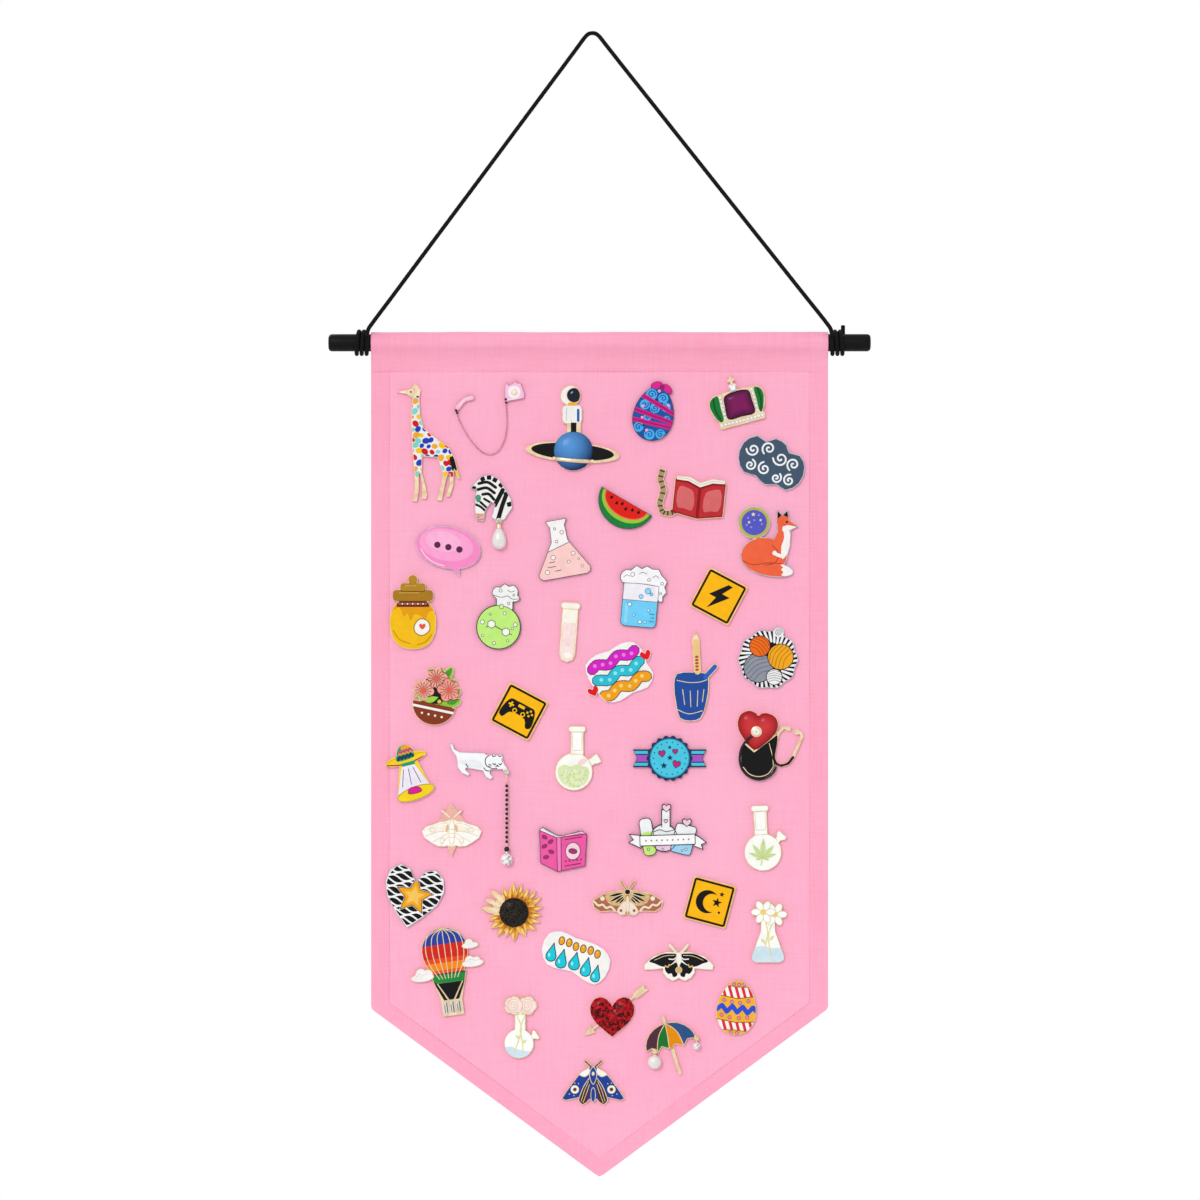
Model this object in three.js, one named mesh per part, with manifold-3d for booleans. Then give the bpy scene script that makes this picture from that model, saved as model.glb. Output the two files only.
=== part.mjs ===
// A pin badge banner: a canvas pennant on a dowel, hung by a cord, with enamel pins pushed through the cloth.
// Millimetres, +Z up, front towards -Y. The origin is where the cord hangs on its hook.
import * as THREE from "three";
import { mergeVertices } from "three/addons/utils/BufferGeometryUtils.js";
import Module from "manifold-3d";

const wasm = await Module();
wasm.setup();

// Hook and dowel
const HANG_HEIGHT = 202; // hook down to the dowel's axis
const HANG_OFFSET = 4.7; // the banner's centre line, right of the hook
const DOWEL_DIAMETER = 11.4;
const DOWEL_LENGTH = 356;
const DOWEL_EDGE = 2; // rounding of the dowel's end edges
const DOWEL_SIDES = 20;

// Cloth
const CLOTH_WIDTH = 300;
const CLOTH_SIDE = 444.5; // top fold down to the corners of the point
const POINT_DROP = 110.8; // those corners down to the tip
const CLOTH_THICKNESS = 1;
const CORNER_ROUND = 1.8;
const HEM_WIDTH = 12.5;
const HEM_THICKNESS = 0.9; // the turned layer behind the cloth
const POCKET_DEPTH = 26; // top fold down to the pocket's seam
const POCKET_CLEARANCE = 0.4;
const SEAM_DEPTH = 2; // where the pocket's two layers are sewn together
const SEAM_GAP = 0.3;

// Cord
const CORD_DIAMETER = 2.8;
const CORD_SIDES = 8;
const CORD_STEPS = 60;
const WINDING_TURNS = 2.5;
const WINDING_STEPS = 24; // per turn
const WINDING_SIDES = 6;
const WINDING_GAP = 0.45; // between neighbouring turns
const WRAP_CLEARANCE = 0.3; // winding to dowel
const EDGE_GAP = 0.8; // winding to the cloth's edge
const LEFT_TAIL = 2.8;
const RIGHT_TAIL = 12;

// Pins
const PLATE_THICKNESS = 1.6;
const PLATE_GAP = 0.3; // plate to cloth
const POST_DIAMETER = 1.1;
const POST_LENGTH = 8;
const POST_POINT = 1.2; // length of the post's sharp end
const SOLDER_DEPTH = 0.6; // how far posts, studs and domes are let into the plate
const POST_SIDES = 6;
const POST_CLEARANCE = 0.35; // post to cloth

// Drops: each hangs by an eye on a headed stud
const STUD_DIAMETER = 1.4;
const STUD_HEAD_DIAMETER = 2.8;
const STUD_HEAD_THICKNESS = 0.6;
const STUD_SIDES = 8;
const EYE_THICKNESS = 1;
const EYE_RIM = 0.9;
const EYE_BORE_CLEARANCE = 0.3;
const EYE_SIDE_CLEARANCE = 0.3;
const DROP_FLATNESS = 0.5; // depth of a drop against its width
const DROP_SIDES = 6;
const CHAIN_DIAMETER = 0.9;
const CHAIN_STEPS = 24;

const cordRadius = CORD_DIAMETER / 2;
const dowelRadius = DOWEL_DIAMETER / 2;
const clothHalf = CLOTH_WIDTH / 2;
const pocketInner = dowelRadius + POCKET_CLEARANCE;
const pocketOuter = pocketInner + CLOTH_THICKNESS;
const seamLevel = pocketOuter - POCKET_DEPTH; // levels are heights above the dowel's axis
const panelTop = seamLevel - SEAM_GAP;
const cornerLevel = pocketOuter - CLOTH_SIDE;
const tipLevel = cornerLevel - POINT_DROP;
const plateBack = -CLOTH_THICKNESS - PLATE_GAP;
const studLength = EYE_THICKNESS + 2 * EYE_SIDE_CLEARANCE;
const eyeBore = STUD_DIAMETER / 2 + EYE_BORE_CLEARANCE;

// The cord's route over the hook, from the left winding to the right one
const CORD_ROUTE = [
  [-147.5, -7.4, -198.9],
  [-147.5, -7.4, -196.4],
  [-146.6, -7.4, -193.1],
  [-144.5, -7.3, -190],
  [-130.6, -6.6, -171.3],
  [-99.7, -5, -129.5],
  [-69.9, -3.4, -89.3],
  [-40.2, -1.9, -49.1],
  [-19.4, -0.9, -21],
  [-9.3, -0.4, -7.3],
  [-4.5, -0.2, -0.9],
  [-2.4, -0.1, 0.9],
  [0, 0, 1.4],
  [2.4, -0.1, 0.9],
  [4.4, -0.2, -0.7],
  [9.4, -0.4, -7],
  [19.9, -0.9, -20.4],
  [41.6, -1.9, -47.8],
  [72.6, -3.4, -87.1],
  [103.6, -5, -126.3],
  [135.8, -6.6, -167.1],
  [153.9, -7.3, -190],
  [156, -7.4, -193.1],
  [156.9, -7.4, -196.4],
  [156.9, -7.4, -198.9],
];

const CANVAS = { color: 0xfba6c4, roughness: 0.95, metalness: 0 };
const BLACK_WOOD = { color: 0x161616, roughness: 0.55, metalness: 0 };
const BLACK_CORD = { color: 0x0c0c0c, roughness: 0.85, metalness: 0 };
const GOLD = { color: 0xd9b878, roughness: 0.3, metalness: 1 };
const SILVER = { color: 0xb9bcc2, roughness: 0.3, metalness: 1 };
const BLACK_METAL = { color: 0x202024, roughness: 0.4, metalness: 0.8 };
const WHITE_ENAMEL = { color: 0xf4f4f4, roughness: 0.2, metalness: 0 };
const PEARL = { color: 0xe9e7e2, roughness: 0.2, metalness: 0 };

// Outlines are lists of [u, v] as seen from the front, u to the right and v up

function turned([u, v], degrees) {
  const angle = THREE.MathUtils.degToRad(degrees);
  return [u * Math.cos(angle) - v * Math.sin(angle), u * Math.sin(angle) + v * Math.cos(angle)];
}

function moved(outline, u, v, degrees = 0) {
  return outline.map((point) => turned(point, degrees)).map(([pu, pv]) => [pu + u, pv + v]);
}

// Points round the middle, whose reach across and up is given for each angle
function around(sides, reach) {
  return Array.from({ length: sides }, (_, i) => {
    const angle = (2 * Math.PI * i) / sides;
    const [across, up] = reach(angle);
    return [across * Math.cos(angle), up * Math.sin(angle)];
  });
}

function ellipse(u, v, across, up, degrees = 0, sides = 18) {
  return moved(around(sides, () => [across, up]), u, v, degrees);
}

function circle(u, v, radius, sides = 12) {
  return ellipse(u, v, radius, radius, 0, sides);
}

function scalloped(radius, depth, count) {
  return around(count * 4, (angle) => Array(2).fill(radius + depth * Math.cos(count * angle)));
}

function flower(u, v, outer, inner, petals) {
  const reach = (angle) => inner + (outer - inner) * Math.abs(Math.cos((petals * angle) / 2));
  return moved(around(petals * 4, (angle) => Array(2).fill(reach(angle))), u, v);
}

function egg(width, height) {
  return around(28, (angle) => [(width / 2) * (1 - 0.16 * Math.sin(angle)), height / 2]);
}

function halfDisc(across, down) {
  return Array.from({ length: 17 }, (_, i) => {
    const angle = Math.PI * (1 + i / 16);
    return [across * Math.cos(angle), down * Math.sin(angle)];
  });
}

function box(u, v, width, height, degrees = 0) {
  const corners = [[1, 1], [-1, 1], [-1, -1], [1, -1]];
  return moved(corners.map(([su, sv]) => [(su * width) / 2, (sv * height) / 2]), u, v, degrees);
}

function roundedBox(u, v, width, height, corner, degrees = 0) {
  const steps = 2;
  const outline = [];
  box(0, 0, width - 2 * corner, height - 2 * corner).forEach(([cu, cv], quarter) => {
    for (let i = 0; i <= steps; i++) {
      const angle = (Math.PI / 2) * (quarter + i / steps);
      outline.push([cu + corner * Math.cos(angle), cv + corner * Math.sin(angle)]);
    }
  });
  return moved(outline, u, v, degrees);
}

// A round-ended bar from one point to another
function bar([u1, v1], [u2, v2], width) {
  const degrees = THREE.MathUtils.radToDeg(Math.atan2(v2 - v1, u2 - u1));
  const length = Math.hypot(u2 - u1, v2 - v1) + width;
  return roundedBox((u1 + u2) / 2, (v1 + v2) / 2, length, width, 0.49 * width, degrees);
}

// A band of even width along the points, with square ends
function stroke(points, width) {
  const sides = points.map((point, i) => {
    const [u1, v1] = points[Math.max(i - 1, 0)];
    const [u2, v2] = points[Math.min(i + 1, points.length - 1)];
    const reach = width / 2 / Math.hypot(u2 - u1, v2 - v1);
    const offset = [(v1 - v2) * reach, (u2 - u1) * reach];
    return [1, -1].map((sign) => [point[0] + sign * offset[0], point[1] + sign * offset[1]]);
  });
  return [...sides.map(([left]) => left).reverse(), ...sides.map(([, right]) => right)];
}

// A closed curve through the points
function smooth(points, steps = 2) {
  const curve = new THREE.CatmullRomCurve3(points.map(([u, v]) => new THREE.Vector3(u, v, 0)), true);
  return curve.getPoints(points.length * steps).slice(0, -1).map(({ x, y }) => [x, y]);
}

// A whole outline from its right half, listed from the top down
function mirrored(half) {
  return [...half, ...half.slice(1, -1).reverse().map(([u, v]) => [-u, v])];
}

function heart(u, v, width, height) {
  const half = [
    [0, 0.26], [0.13, 0.45], [0.3, 0.5], [0.45, 0.38], [0.5, 0.18], [0.43, -0.05], [0.22, -0.3], [0, -0.5],
  ];
  return moved(mirrored(half).map(([hu, hv]) => [hu * width, hv * height]), u, v);
}

function coneFlask(neck, shoulder, bottom, height) {
  const half = height / 2;
  return mirrored([
    [0, half], [neck / 2 + 2, half], [neck / 2, half - 4], [neck / 2 + 0.5, shoulder], [bottom / 2, 4 - half],
    [bottom / 2 - 0.5, 1.5 - half], [bottom / 2 - 3, -half], [0, -half],
  ]);
}

function roundFlask(radius, neck, neckWidth, top) {
  return [
    circle(0, 0, radius, 24),
    box(neck, (radius + top) / 2 - 2, neckWidth, top - radius + 4),
    roundedBox(neck, top, neckWidth + 3, 4, 1.6),
  ];
}

// A glass mouthpiece from its root to its lip: a tube that flares out over its last part
function horn([u1, v1], [u2, v2], tubeWidth, lipWidth) {
  const length = Math.hypot(u2 - u1, v2 - v1);
  const lower = [[0, tubeWidth], [0.52 * length, tubeWidth], [0.76 * length, lipWidth], [length, lipWidth]];
  const edge = lower.map(([along, width]) => [along, -width / 2]);
  const outline = [...edge, ...edge.map(([along, side]) => [along, -side]).reverse()];
  return moved(outline, u1, v1, THREE.MathUtils.radToDeg(Math.atan2(v2 - v1, u2 - u1)));
}

// Petals of uneven length, given as [direction, length] counter-clockwise, that meet at the inner radius
function petals(tips, inner) {
  return tips.flatMap(([direction, length], i) => {
    const next = tips[(i + 1) % tips.length][0];
    const gap = ((next - direction + 360) % 360) / 2;
    const before = tips[(i + tips.length - 1) % tips.length][0];
    const back = ((direction - before + 360) % 360) / 2;
    const points = [[-0.55 * back, 0.84 * length], [0, length], [0.55 * gap, 0.84 * length], [gap, inner]];
    return points.map(([side, reach]) => turned([reach, 0], direction + side));
  });
}

function feelers([footU, footV], [tipU, tipV], width) {
  return [1, -1].map((side) => bar([side * footU, footV], [side * tipU, tipV], width));
}

// Solids

function solid(geometry) {
  geometry.deleteAttribute("normal");
  geometry.deleteAttribute("uv");
  const welded = mergeVertices(geometry, 1e-4);
  const vertProperties = new Float32Array(welded.attributes.position.array);
  const triVerts = new Uint32Array(welded.index.array);
  return new wasm.Manifold(new wasm.Mesh({ numProp: 3, vertProperties, triVerts }));
}

function geometryOf(made) {
  const { vertProperties, triVerts } = made.getMesh();
  const geometry = new THREE.BufferGeometry();
  geometry.setAttribute("position", new THREE.BufferAttribute(vertProperties, 3));
  geometry.setIndex(new THREE.BufferAttribute(triVerts, 1));
  geometry.computeVertexNormals();
  return geometry;
}

function joined(geometries) {
  return geometryOf(geometries.map(solid).reduce((whole, next) => whole.add(next)));
}

function shapeOf(outline) {
  return new THREE.Shape(outline.map(([u, v]) => new THREE.Vector2(u, v)));
}

// A shape pushed out towards the front, from one depth to another
function slab(shape, back, front) {
  const geometry = new THREE.ExtrudeGeometry(shape, { depth: front - back, bevelEnabled: false });
  return geometry.translate(0, 0, back).rotateX(Math.PI / 2);
}

// A turned piece about the Y axis, whose profile is [radius, y] with y rising
function spun(profile, sides) {
  return new THREE.LatheGeometry(profile.map(([r, y]) => new THREE.Vector2(r, y)), sides);
}

// A tube with flat ends through the points, its sections squared to a fixed direction
function tube(points, radius, sides, across) {
  const positions = [];
  points.forEach((point, i) => {
    const before = points[Math.max(i - 1, 0)];
    const after = points[Math.min(i + 1, points.length - 1)];
    const along = after.clone().sub(before).normalize();
    const side = across.clone().addScaledVector(along, -across.dot(along)).normalize();
    const up = along.clone().cross(side);
    for (let k = 0; k < sides; k++) {
      const angle = (2 * Math.PI * k) / sides;
      const corner = point.clone().addScaledVector(side, radius * Math.cos(angle));
      positions.push(...corner.addScaledVector(up, radius * Math.sin(angle)).toArray());
    }
  });
  const faces = [];
  const last = (points.length - 1) * sides;
  for (let i = 0; i < points.length - 1; i++) {
    for (let k = 0; k < sides; k++) {
      const a = i * sides + k;
      const b = i * sides + ((k + 1) % sides);
      faces.push(a, b, a + sides, b, b + sides, a + sides);
    }
  }
  for (let k = 1; k < sides - 1; k++) {
    faces.push(0, k + 1, k, last, last + k, last + k + 1);
  }
  const geometry = new THREE.BufferGeometry();
  geometry.setAttribute("position", new THREE.Float32BufferAttribute(positions, 3));
  geometry.setIndex(faces);
  return geometry;
}

function mesh(name, geometry, finish) {
  const made = new THREE.Mesh(geometry, new THREE.MeshStandardMaterial(finish));
  made.name = name;
  return made;
}

// Dowel

function dowel() {
  const half = DOWEL_LENGTH / 2;
  const flat = dowelRadius - DOWEL_EDGE;
  const round = DOWEL_EDGE * Math.SQRT1_2;
  const edge = [
    [dowelRadius, half - DOWEL_EDGE],
    [flat + round, half - DOWEL_EDGE + round],
    [flat, half],
    [0, half],
  ];
  const profile = [...edge.map(([r, y]) => [r, -y]).reverse(), ...edge];
  return mesh("dowel", spun(profile, DOWEL_SIDES).rotateZ(-Math.PI / 2), BLACK_WOOD);
}

// Cloth

// The pocket's section: an arc over the dowel that runs straight down to its foot
function pocketSection(radius, footHalf, footLevel) {
  const steps = 18;
  const start = Math.atan2(footLevel, footHalf) + Math.acos(radius / Math.hypot(footHalf, footLevel));
  const arc = Array.from({ length: steps + 1 }, (_, i) => {
    const angle = start + ((Math.PI - 2 * start) * i) / steps;
    return [radius * Math.cos(angle), radius * Math.sin(angle)];
  });
  const foot = footHalf > 0 ? [[-footHalf, footLevel], [footHalf, footLevel]] : [[0, footLevel]];
  return [...arc, ...foot];
}

function rodPocket() {
  const section = shapeOf(pocketSection(pocketOuter, CLOTH_THICKNESS, seamLevel));
  section.holes.push(shapeOf(pocketSection(pocketInner, 0, seamLevel + SEAM_DEPTH)));
  const geometry = new THREE.ExtrudeGeometry(section, { depth: CLOTH_WIDTH, bevelEnabled: false });
  geometry.translate(0, 0, -clothHalf).rotateX(Math.PI / 2).rotateZ(Math.PI / 2);
  return mesh("rod_pocket", geometry, CANVAS);
}

// The cloth's outline below the seam, set in from its edges, with its three lower corners rounded
function clothOutline(inset) {
  const slope = Math.hypot(clothHalf, POINT_DROP);
  const half = clothHalf - inset;
  const tip = tipLevel + (inset * slope) / clothHalf;
  const corner = tip + (half * POINT_DROP) / clothHalf;
  const cutU = (CORNER_ROUND * clothHalf) / slope;
  const cutV = (CORNER_ROUND * POINT_DROP) / slope;
  const shape = new THREE.Shape();
  shape.moveTo(-half, panelTop);
  shape.lineTo(-half, corner + CORNER_ROUND);
  shape.quadraticCurveTo(-half, corner, -half + cutU, corner - cutV);
  shape.lineTo(-cutU, tip + cutV);
  shape.quadraticCurveTo(0, tip, cutU, tip + cutV);
  shape.lineTo(half - cutU, corner - cutV);
  shape.quadraticCurveTo(half, corner, half, corner + CORNER_ROUND);
  shape.lineTo(half, panelTop);
  return shape.getPoints(3).map(({ x, y }) => [x, y]);
}

function bannerPanel(postPoints) {
  const outline = clothOutline(0);
  const hem = [...outline, ...clothOutline(HEM_WIDTH).reverse()];
  const cloth = solid(slab(shapeOf(outline), 0, CLOTH_THICKNESS));
  const sewn = cloth.add(solid(slab(shapeOf(hem), -HEM_THICKNESS, CLOTH_THICKNESS / 2)));
  const holeRadius = POST_DIAMETER / 2 + POST_CLEARANCE;
  const holes = postPoints.map(([u, v]) => {
    const rim = shapeOf(circle(u, v, holeRadius, POST_SIDES));
    return solid(slab(rim, -2 * HEM_THICKNESS, 2 * CLOTH_THICKNESS));
  });
  const panel = holes.reduce((whole, hole) => whole.subtract(hole), sewn);
  return mesh("banner_panel", geometryOf(panel), CANVAS);
}

// Cord

// One end of the cord wound round the dowel: down the front, up the back, and a tail left standing
function winding(name, side, tail) {
  const radius = dowelRadius + WRAP_CLEARANCE + cordRadius;
  const start = clothHalf + EDGE_GAP + cordRadius;
  const pitch = CORD_DIAMETER + WINDING_GAP;
  const points = [new THREE.Vector3(side * start, -radius, CORD_DIAMETER)];
  for (let i = 0; i <= WINDING_TURNS * WINDING_STEPS; i++) {
    const turns = i / WINDING_STEPS;
    const angle = 2 * Math.PI * turns;
    const x = side * (start + pitch * turns);
    points.push(new THREE.Vector3(x, -radius * Math.cos(angle), -radius * Math.sin(angle)));
  }
  points.push(points.at(-1).clone().setZ(tail));
  const gaps = points.flatMap((point, i) =>
    points.slice(i + WINDING_STEPS / 2).map((other) => point.distanceTo(other) - CORD_DIAMETER));
  console.log(`${name}: least gap to itself ${Math.min(...gaps).toFixed(2)} mm`);
  return mesh(name, tube(points, cordRadius, WINDING_SIDES, new THREE.Vector3(1, 0, 0)), BLACK_CORD);
}

function hangingCord() {
  const route = CORD_ROUTE.map((point) => new THREE.Vector3(...point));
  const extrudePath = new THREE.CatmullRomCurve3(route, false, "centripetal");
  const section = shapeOf(circle(0, 0, cordRadius, CORD_SIDES));
  const geometry = new THREE.ExtrudeGeometry(section, { steps: CORD_STEPS, extrudePath });
  return mesh("hanging_cord", geometry, BLACK_CORD);
}

// Pin outlines

const giraffe = [
  [-20.8, 33.5], [-11.9, 35.4], [-8.6, 39.2], [-5.2, 35.1], [-5.9, 29.5], [-5.4, 18.4], [-2.8, 9.7],
  [5.9, 2.5], [13.5, -2.2], [17.4, -10.2], [20.8, -23.2], [19.2, -23.4], [17, -17.3], [16.7, -19.7],
  [16.3, -27.6], [13.9, -35.1], [11.5, -35.1], [13.9, -27.6], [14.3, -20.5], [12.5, -20.5],
  [11.1, -26], [8.7, -37.5], [5.6, -37.5], [8.7, -26], [9.5, -19.7], [5.9, -9.4], [-4, -8.6],
  [-4.4, -18.9], [-2, -27.6], [-0.8, -33.9],
  [-1.6, -36.7], [-4.4, -36.3], [-4, -29], [-5.4, -20], [-6.3, -20], [-6.3, -30.8], [-7.5, -38.3],
  [-10.7, -37.9], [-8.9, -30.8], [-9.1, -20.5], [-10.7, -3.8], [-11.1, 10.5], [-11.5, 18.4], [-10.3, 29.5],
  [-14.3, 32.3],
];

const zebraHead = [
  [-10.7, -9.9], [-9.5, -15.5], [-4.8, -15.9], [-4, -9.5], [0, -3.2], [2.4, -4.8], [0.4, -13.5], [4, -15.9],
  [8.7, -14.7], [13.9, -7.1], [13.1, -1.6], [8.7, 6.3], [4.8, 11.9], [-0.8, 14.7], [-6.3, 13.5], [-9.9, 10.3],
  [-13.5, 5.6], [-9.5, 4.4], [-10.7, -0.8],
];

const crownTop = smooth([
  [-14.4, -9], [-18.4, 0], [-18.2, 5.6], [-15, 8.4], [-8.6, 9.2], [0, 9.3], [8.6, 9.2], [15, 8.4],
  [18.2, 5.6], [18.4, 0], [14.4, -9],
]);

const openBook = [
  [-11, 10], [-9.5, 12.5], [-2, 12.6], [6, 9.5], [14, 12.6], [21.5, 12.5], [23, 10], [23, -12], [6, -15],
  [-11, -12],
];

const cloud = smooth([
  [-21, -7], [-22.4, 4], [-16, 12], [-9, 11], [-4, 15.4], [4, 14.6], [8, 10.6], [15, 12], [21.4, 6],
  [22.4, -5], [16, -13], [9, -12], [2, -15.4], [-6, -12.6], [-14, -13.6],
]);

const foxChest = smooth([[2, -4], [6, 6], [6.5, 13], [14, 12], [15, 2], [13, -9], [7, -14]]);

const foxHead = [
  [5.5, 12], [6, 20.5], [9.5, 17], [13, 20.5], [14, 14], [20, 9.5], [15, 7], [8, 7],
];

const foam = smooth([
  [-12.6, 12], [-14.4, 17], [-11, 21], [-7.6, 20.8], [-4.4, 24.2], [-0.6, 22.4], [2.6, 24.4], [6.4, 22.6],
  [10.4, 22.8], [12.8, 19], [16.8, 15], [15.4, 11.4], [17, 8], [14.6, 5], [15, 2], [12.6, 1.4], [10, 5],
  [9, 12],
]);

const catShape = [
  [-19, 10.8], [-17.3, 11.3], [-15.9, 7.8], [-12.4, 5.8], [-4.5, 5.5], [3.3, 5.3], [5.6, 4], [8.2, 3.8],
  [9, 5.2], [11.2, 3.9], [13.4, 3.9], [15.3, 5], [16, 1.4], [16.4, -1.4], [18.6, -4.4], [19.8, -7.2],
  [17.6, -8.6], [15.4, -5.4], [12.2, -5.6], [7.4, -5.6], [7.4, -8.2], [9.4, -10.8], [7.4, -12], [4.6, -10.4],
  [2.8, -6.4], [-2.6, -5.4], [-8.4, -4.4], [-8.8, -5.6], [-5.8, -8.4], [-7, -9.8], [-11, -7.9], [-14, -4],
  [-14, -0.6], [-15, 3.4], [-17.8, 7.2],
];

const neckFoam = smooth([
  [-2, 19], [-4.4, 23], [-1.6, 26.6], [1.2, 26.2], [4, 28.6], [7, 26.8], [10, 27.6], [13, 24], [12.6, 21],
  [14.4, 18.6], [11, 16.4], [4, 18],
]);

const honeyPot = smooth([
  [-9, 7], [-14, 1], [-15.4, -9], [-12.5, -19], [-6, -24], [6, -24], [12.5, -19], [15.4, -9], [14, 1], [9, 7],
]);

const wavyPlaque = smooth([
  [-18, 14], [-9, 17.2], [0, 16], [9, 17.2], [17, 14.4], [20, 6], [19, -2], [20, -10], [13, -16.4],
  [3, -15.4], [-7, -16.8], [-16, -13.4], [-18.4, -5], [-20, 5],
]);

const pencilPot = smooth([
  [-12, 2.5], [-14, -5], [-12.6, -17], [-10, -27], [-3, -29], [4, -27], [8, -16], [9.4, -4], [8, 2.5],
  [-2, 3.6],
]);

const tiltedHeart = smooth([
  [-0.2, 19.4], [2.4, 21], [7, 20.8], [11.5, 18], [13, 13.4], [11.6, 8], [6, 1.8], [-3, -3.8], [-9, 2.4],
  [-13, 8.6], [-14.2, 14.4], [-12.4, 20], [-7, 22.8], [-2.6, 21.6],
]);

const doctorBag = smooth([
  [-9.6, 2], [-11.8, -8], [-10.4, -16.6], [-5.4, -21], [0.7, -22.4], [6.8, -20], [10.4, -14.6], [10.8, -7],
  [12.2, 1], [12, 7], [4, 4],
]);

const earTube = [
  [9.6, -3], [9.8, -9], [11.6, -12.4], [14.5, -13.6], [19.4, -12.1], [22.4, -8.2], [26, 0], [28.4, 5.4],
  [27.6, 7.8], [24.9, 8.5],
];

const whiteMoth = mirrored([
  [0, 9.5], [4, 8], [8, 7.5], [17, 4.5], [19.8, 1.5], [18, -3], [13, -6.5], [9, -8.5], [5, -8.8], [2.5, -8],
  [0, -8.8],
]);

const brownMoth = mirrored([
  [0, 7.5], [3.2, 6.6], [8, 6.4], [16, 4.2], [21, 1.2], [23.5, -0.4], [22.4, -4.8], [18, -7.7], [11, -7.2],
  [7.2, -7.7], [5, -9.9], [2, -9.8], [0, -9],
]);

const blackMoth = mirrored([
  [0, 7], [4, 7.2], [8, 7.3], [16.8, 4.4], [20.6, 1], [22.8, -1.4], [22.4, -4.6], [15.8, -4.3], [10.4, -3.7],
  [10.6, -6.4], [8, -9.9], [4, -11.9], [1.6, -11], [0, -10],
]);

const blueMoth = mirrored([
  [0, 11.8], [3, 11], [8.7, 7.5], [16, -2], [21, -9.5], [18, -10.8], [12, -9.5], [9.8, -9], [9.5, -11.5],
  [7, -13.8], [4, -12], [2.2, -10], [0, -12.2],
]);

const pinkBook = [
  [-15.5, 13.4], [-13, 15.2], [-4, 10], [0, 9.5], [12, 12.8], [15.9, 10.5], [14.7, -10.5], [-3.4, -14.2],
  [-14.7, -8.4],
];

const balloon = smooth([
  [0, 29.4], [9, 26.6], [14.6, 19], [15, 10.6], [11.4, 1], [7.6, -4], [-7.6, -4], [-11.4, 1], [-15, 10.6],
  [-14.6, 19], [-9, 26.6],
]);

const bubblePlaque = smooth([
  [-22.6, -2], [-21.6, 9], [-14, 13.2], [-4, 12.2], [6, 12.8], [16, 11.4], [22.4, 6], [22.8, -5], [18, -12.4],
  [9, -11.6], [1, -9.4], [-7, -10.6], [-16, -10.4],
]);

const CANOPY_ARC = Array.from({ length: 13 }, (_, i) => (Math.PI * i) / 12);
const canopy = [
  ...CANOPY_ARC.map((angle) => [17 * Math.cos(angle), 14.8 * Math.sin(angle)]),
  [-12.6, 1], [-9.8, -2.8], [-6.1, 0.4], [-2, -2.3], [2.9, -0.4], [8, -3], [11.4, 0.8],
];

const SUNFLOWER_TIPS = [
  [11, 19.4], [29, 20.6], [44, 20.3], [58, 18.4], [75, 19.7], [92, 19.7], [115, 18], [136, 21.6], [155, 21.6],
  [172, 22.2], [197, 17.8], [214, 18.7], [235, 19.3], [251, 17.4], [269, 19.2], [296, 17.6], [321, 18.9],
  [339, 18.7], [354, 18.4],
];

const arrowHead = [[4, 0], [-3, 3], [-3, -3]];
const arrowFeather = [[-4, 2.2], [5.4, 2.2], [4, 0], [5.4, -2.2], [-4, -2.2], [-5.4, 0]];
const ribbon = [[-24.1, 5.8], [24.1, 5.8], [21.4, 0], [24.1, -5.8], [-24.1, -5.8], [-21.4, 0]];
const ribbonLeft = [[-17, -1.2], [-25.2, -0.4], [-22.6, -4.2], [-25.8, -6], [-17.4, -10]];
const ribbonRight = [[17.6, -0.4], [21, -2], [26, -6], [22.6, -7.2], [23.6, -10.8], [17.6, -8.4]];
const diamondSign = roundedBox(0, 0, 28.7, 28.7, 1.2);

// The telephone's two plates and the chain between them, from the middle of the set
const handset = smooth([
  [-19.7, 6.9], [-18, 4.7], [-15, 7.8], [-12.3, 10.8], [-7, 12.1], [-7, 14.7], [-12.3, 14.3], [-16.7, 10.8],
]);
const phoneBase = [
  [13.2, 10.6], [25.9, 13], [26.1, 16.3], [23.8, 22.7], [21.2, 23], [20.2, 24.9], [19, 23], [15.7, 21.5],
  [13.8, 23.4], [13.1, 19.4],
];
const PHONE_CHAIN = [
  [-18.4, 3.9], [-17.4, 0.6], [-14.9, -5], [-9.3, -14.2], [-2.1, -22], [3.5, -24], [9, -21.5], [13, -14.2],
  [14.6, -4.1], [14.4, 4], [14, 9.9],
];

// Pins: at is [right of the centre line, below the seam], turn is counter-clockwise,
// a dome is [u, v, half width, half height, rise]

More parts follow.
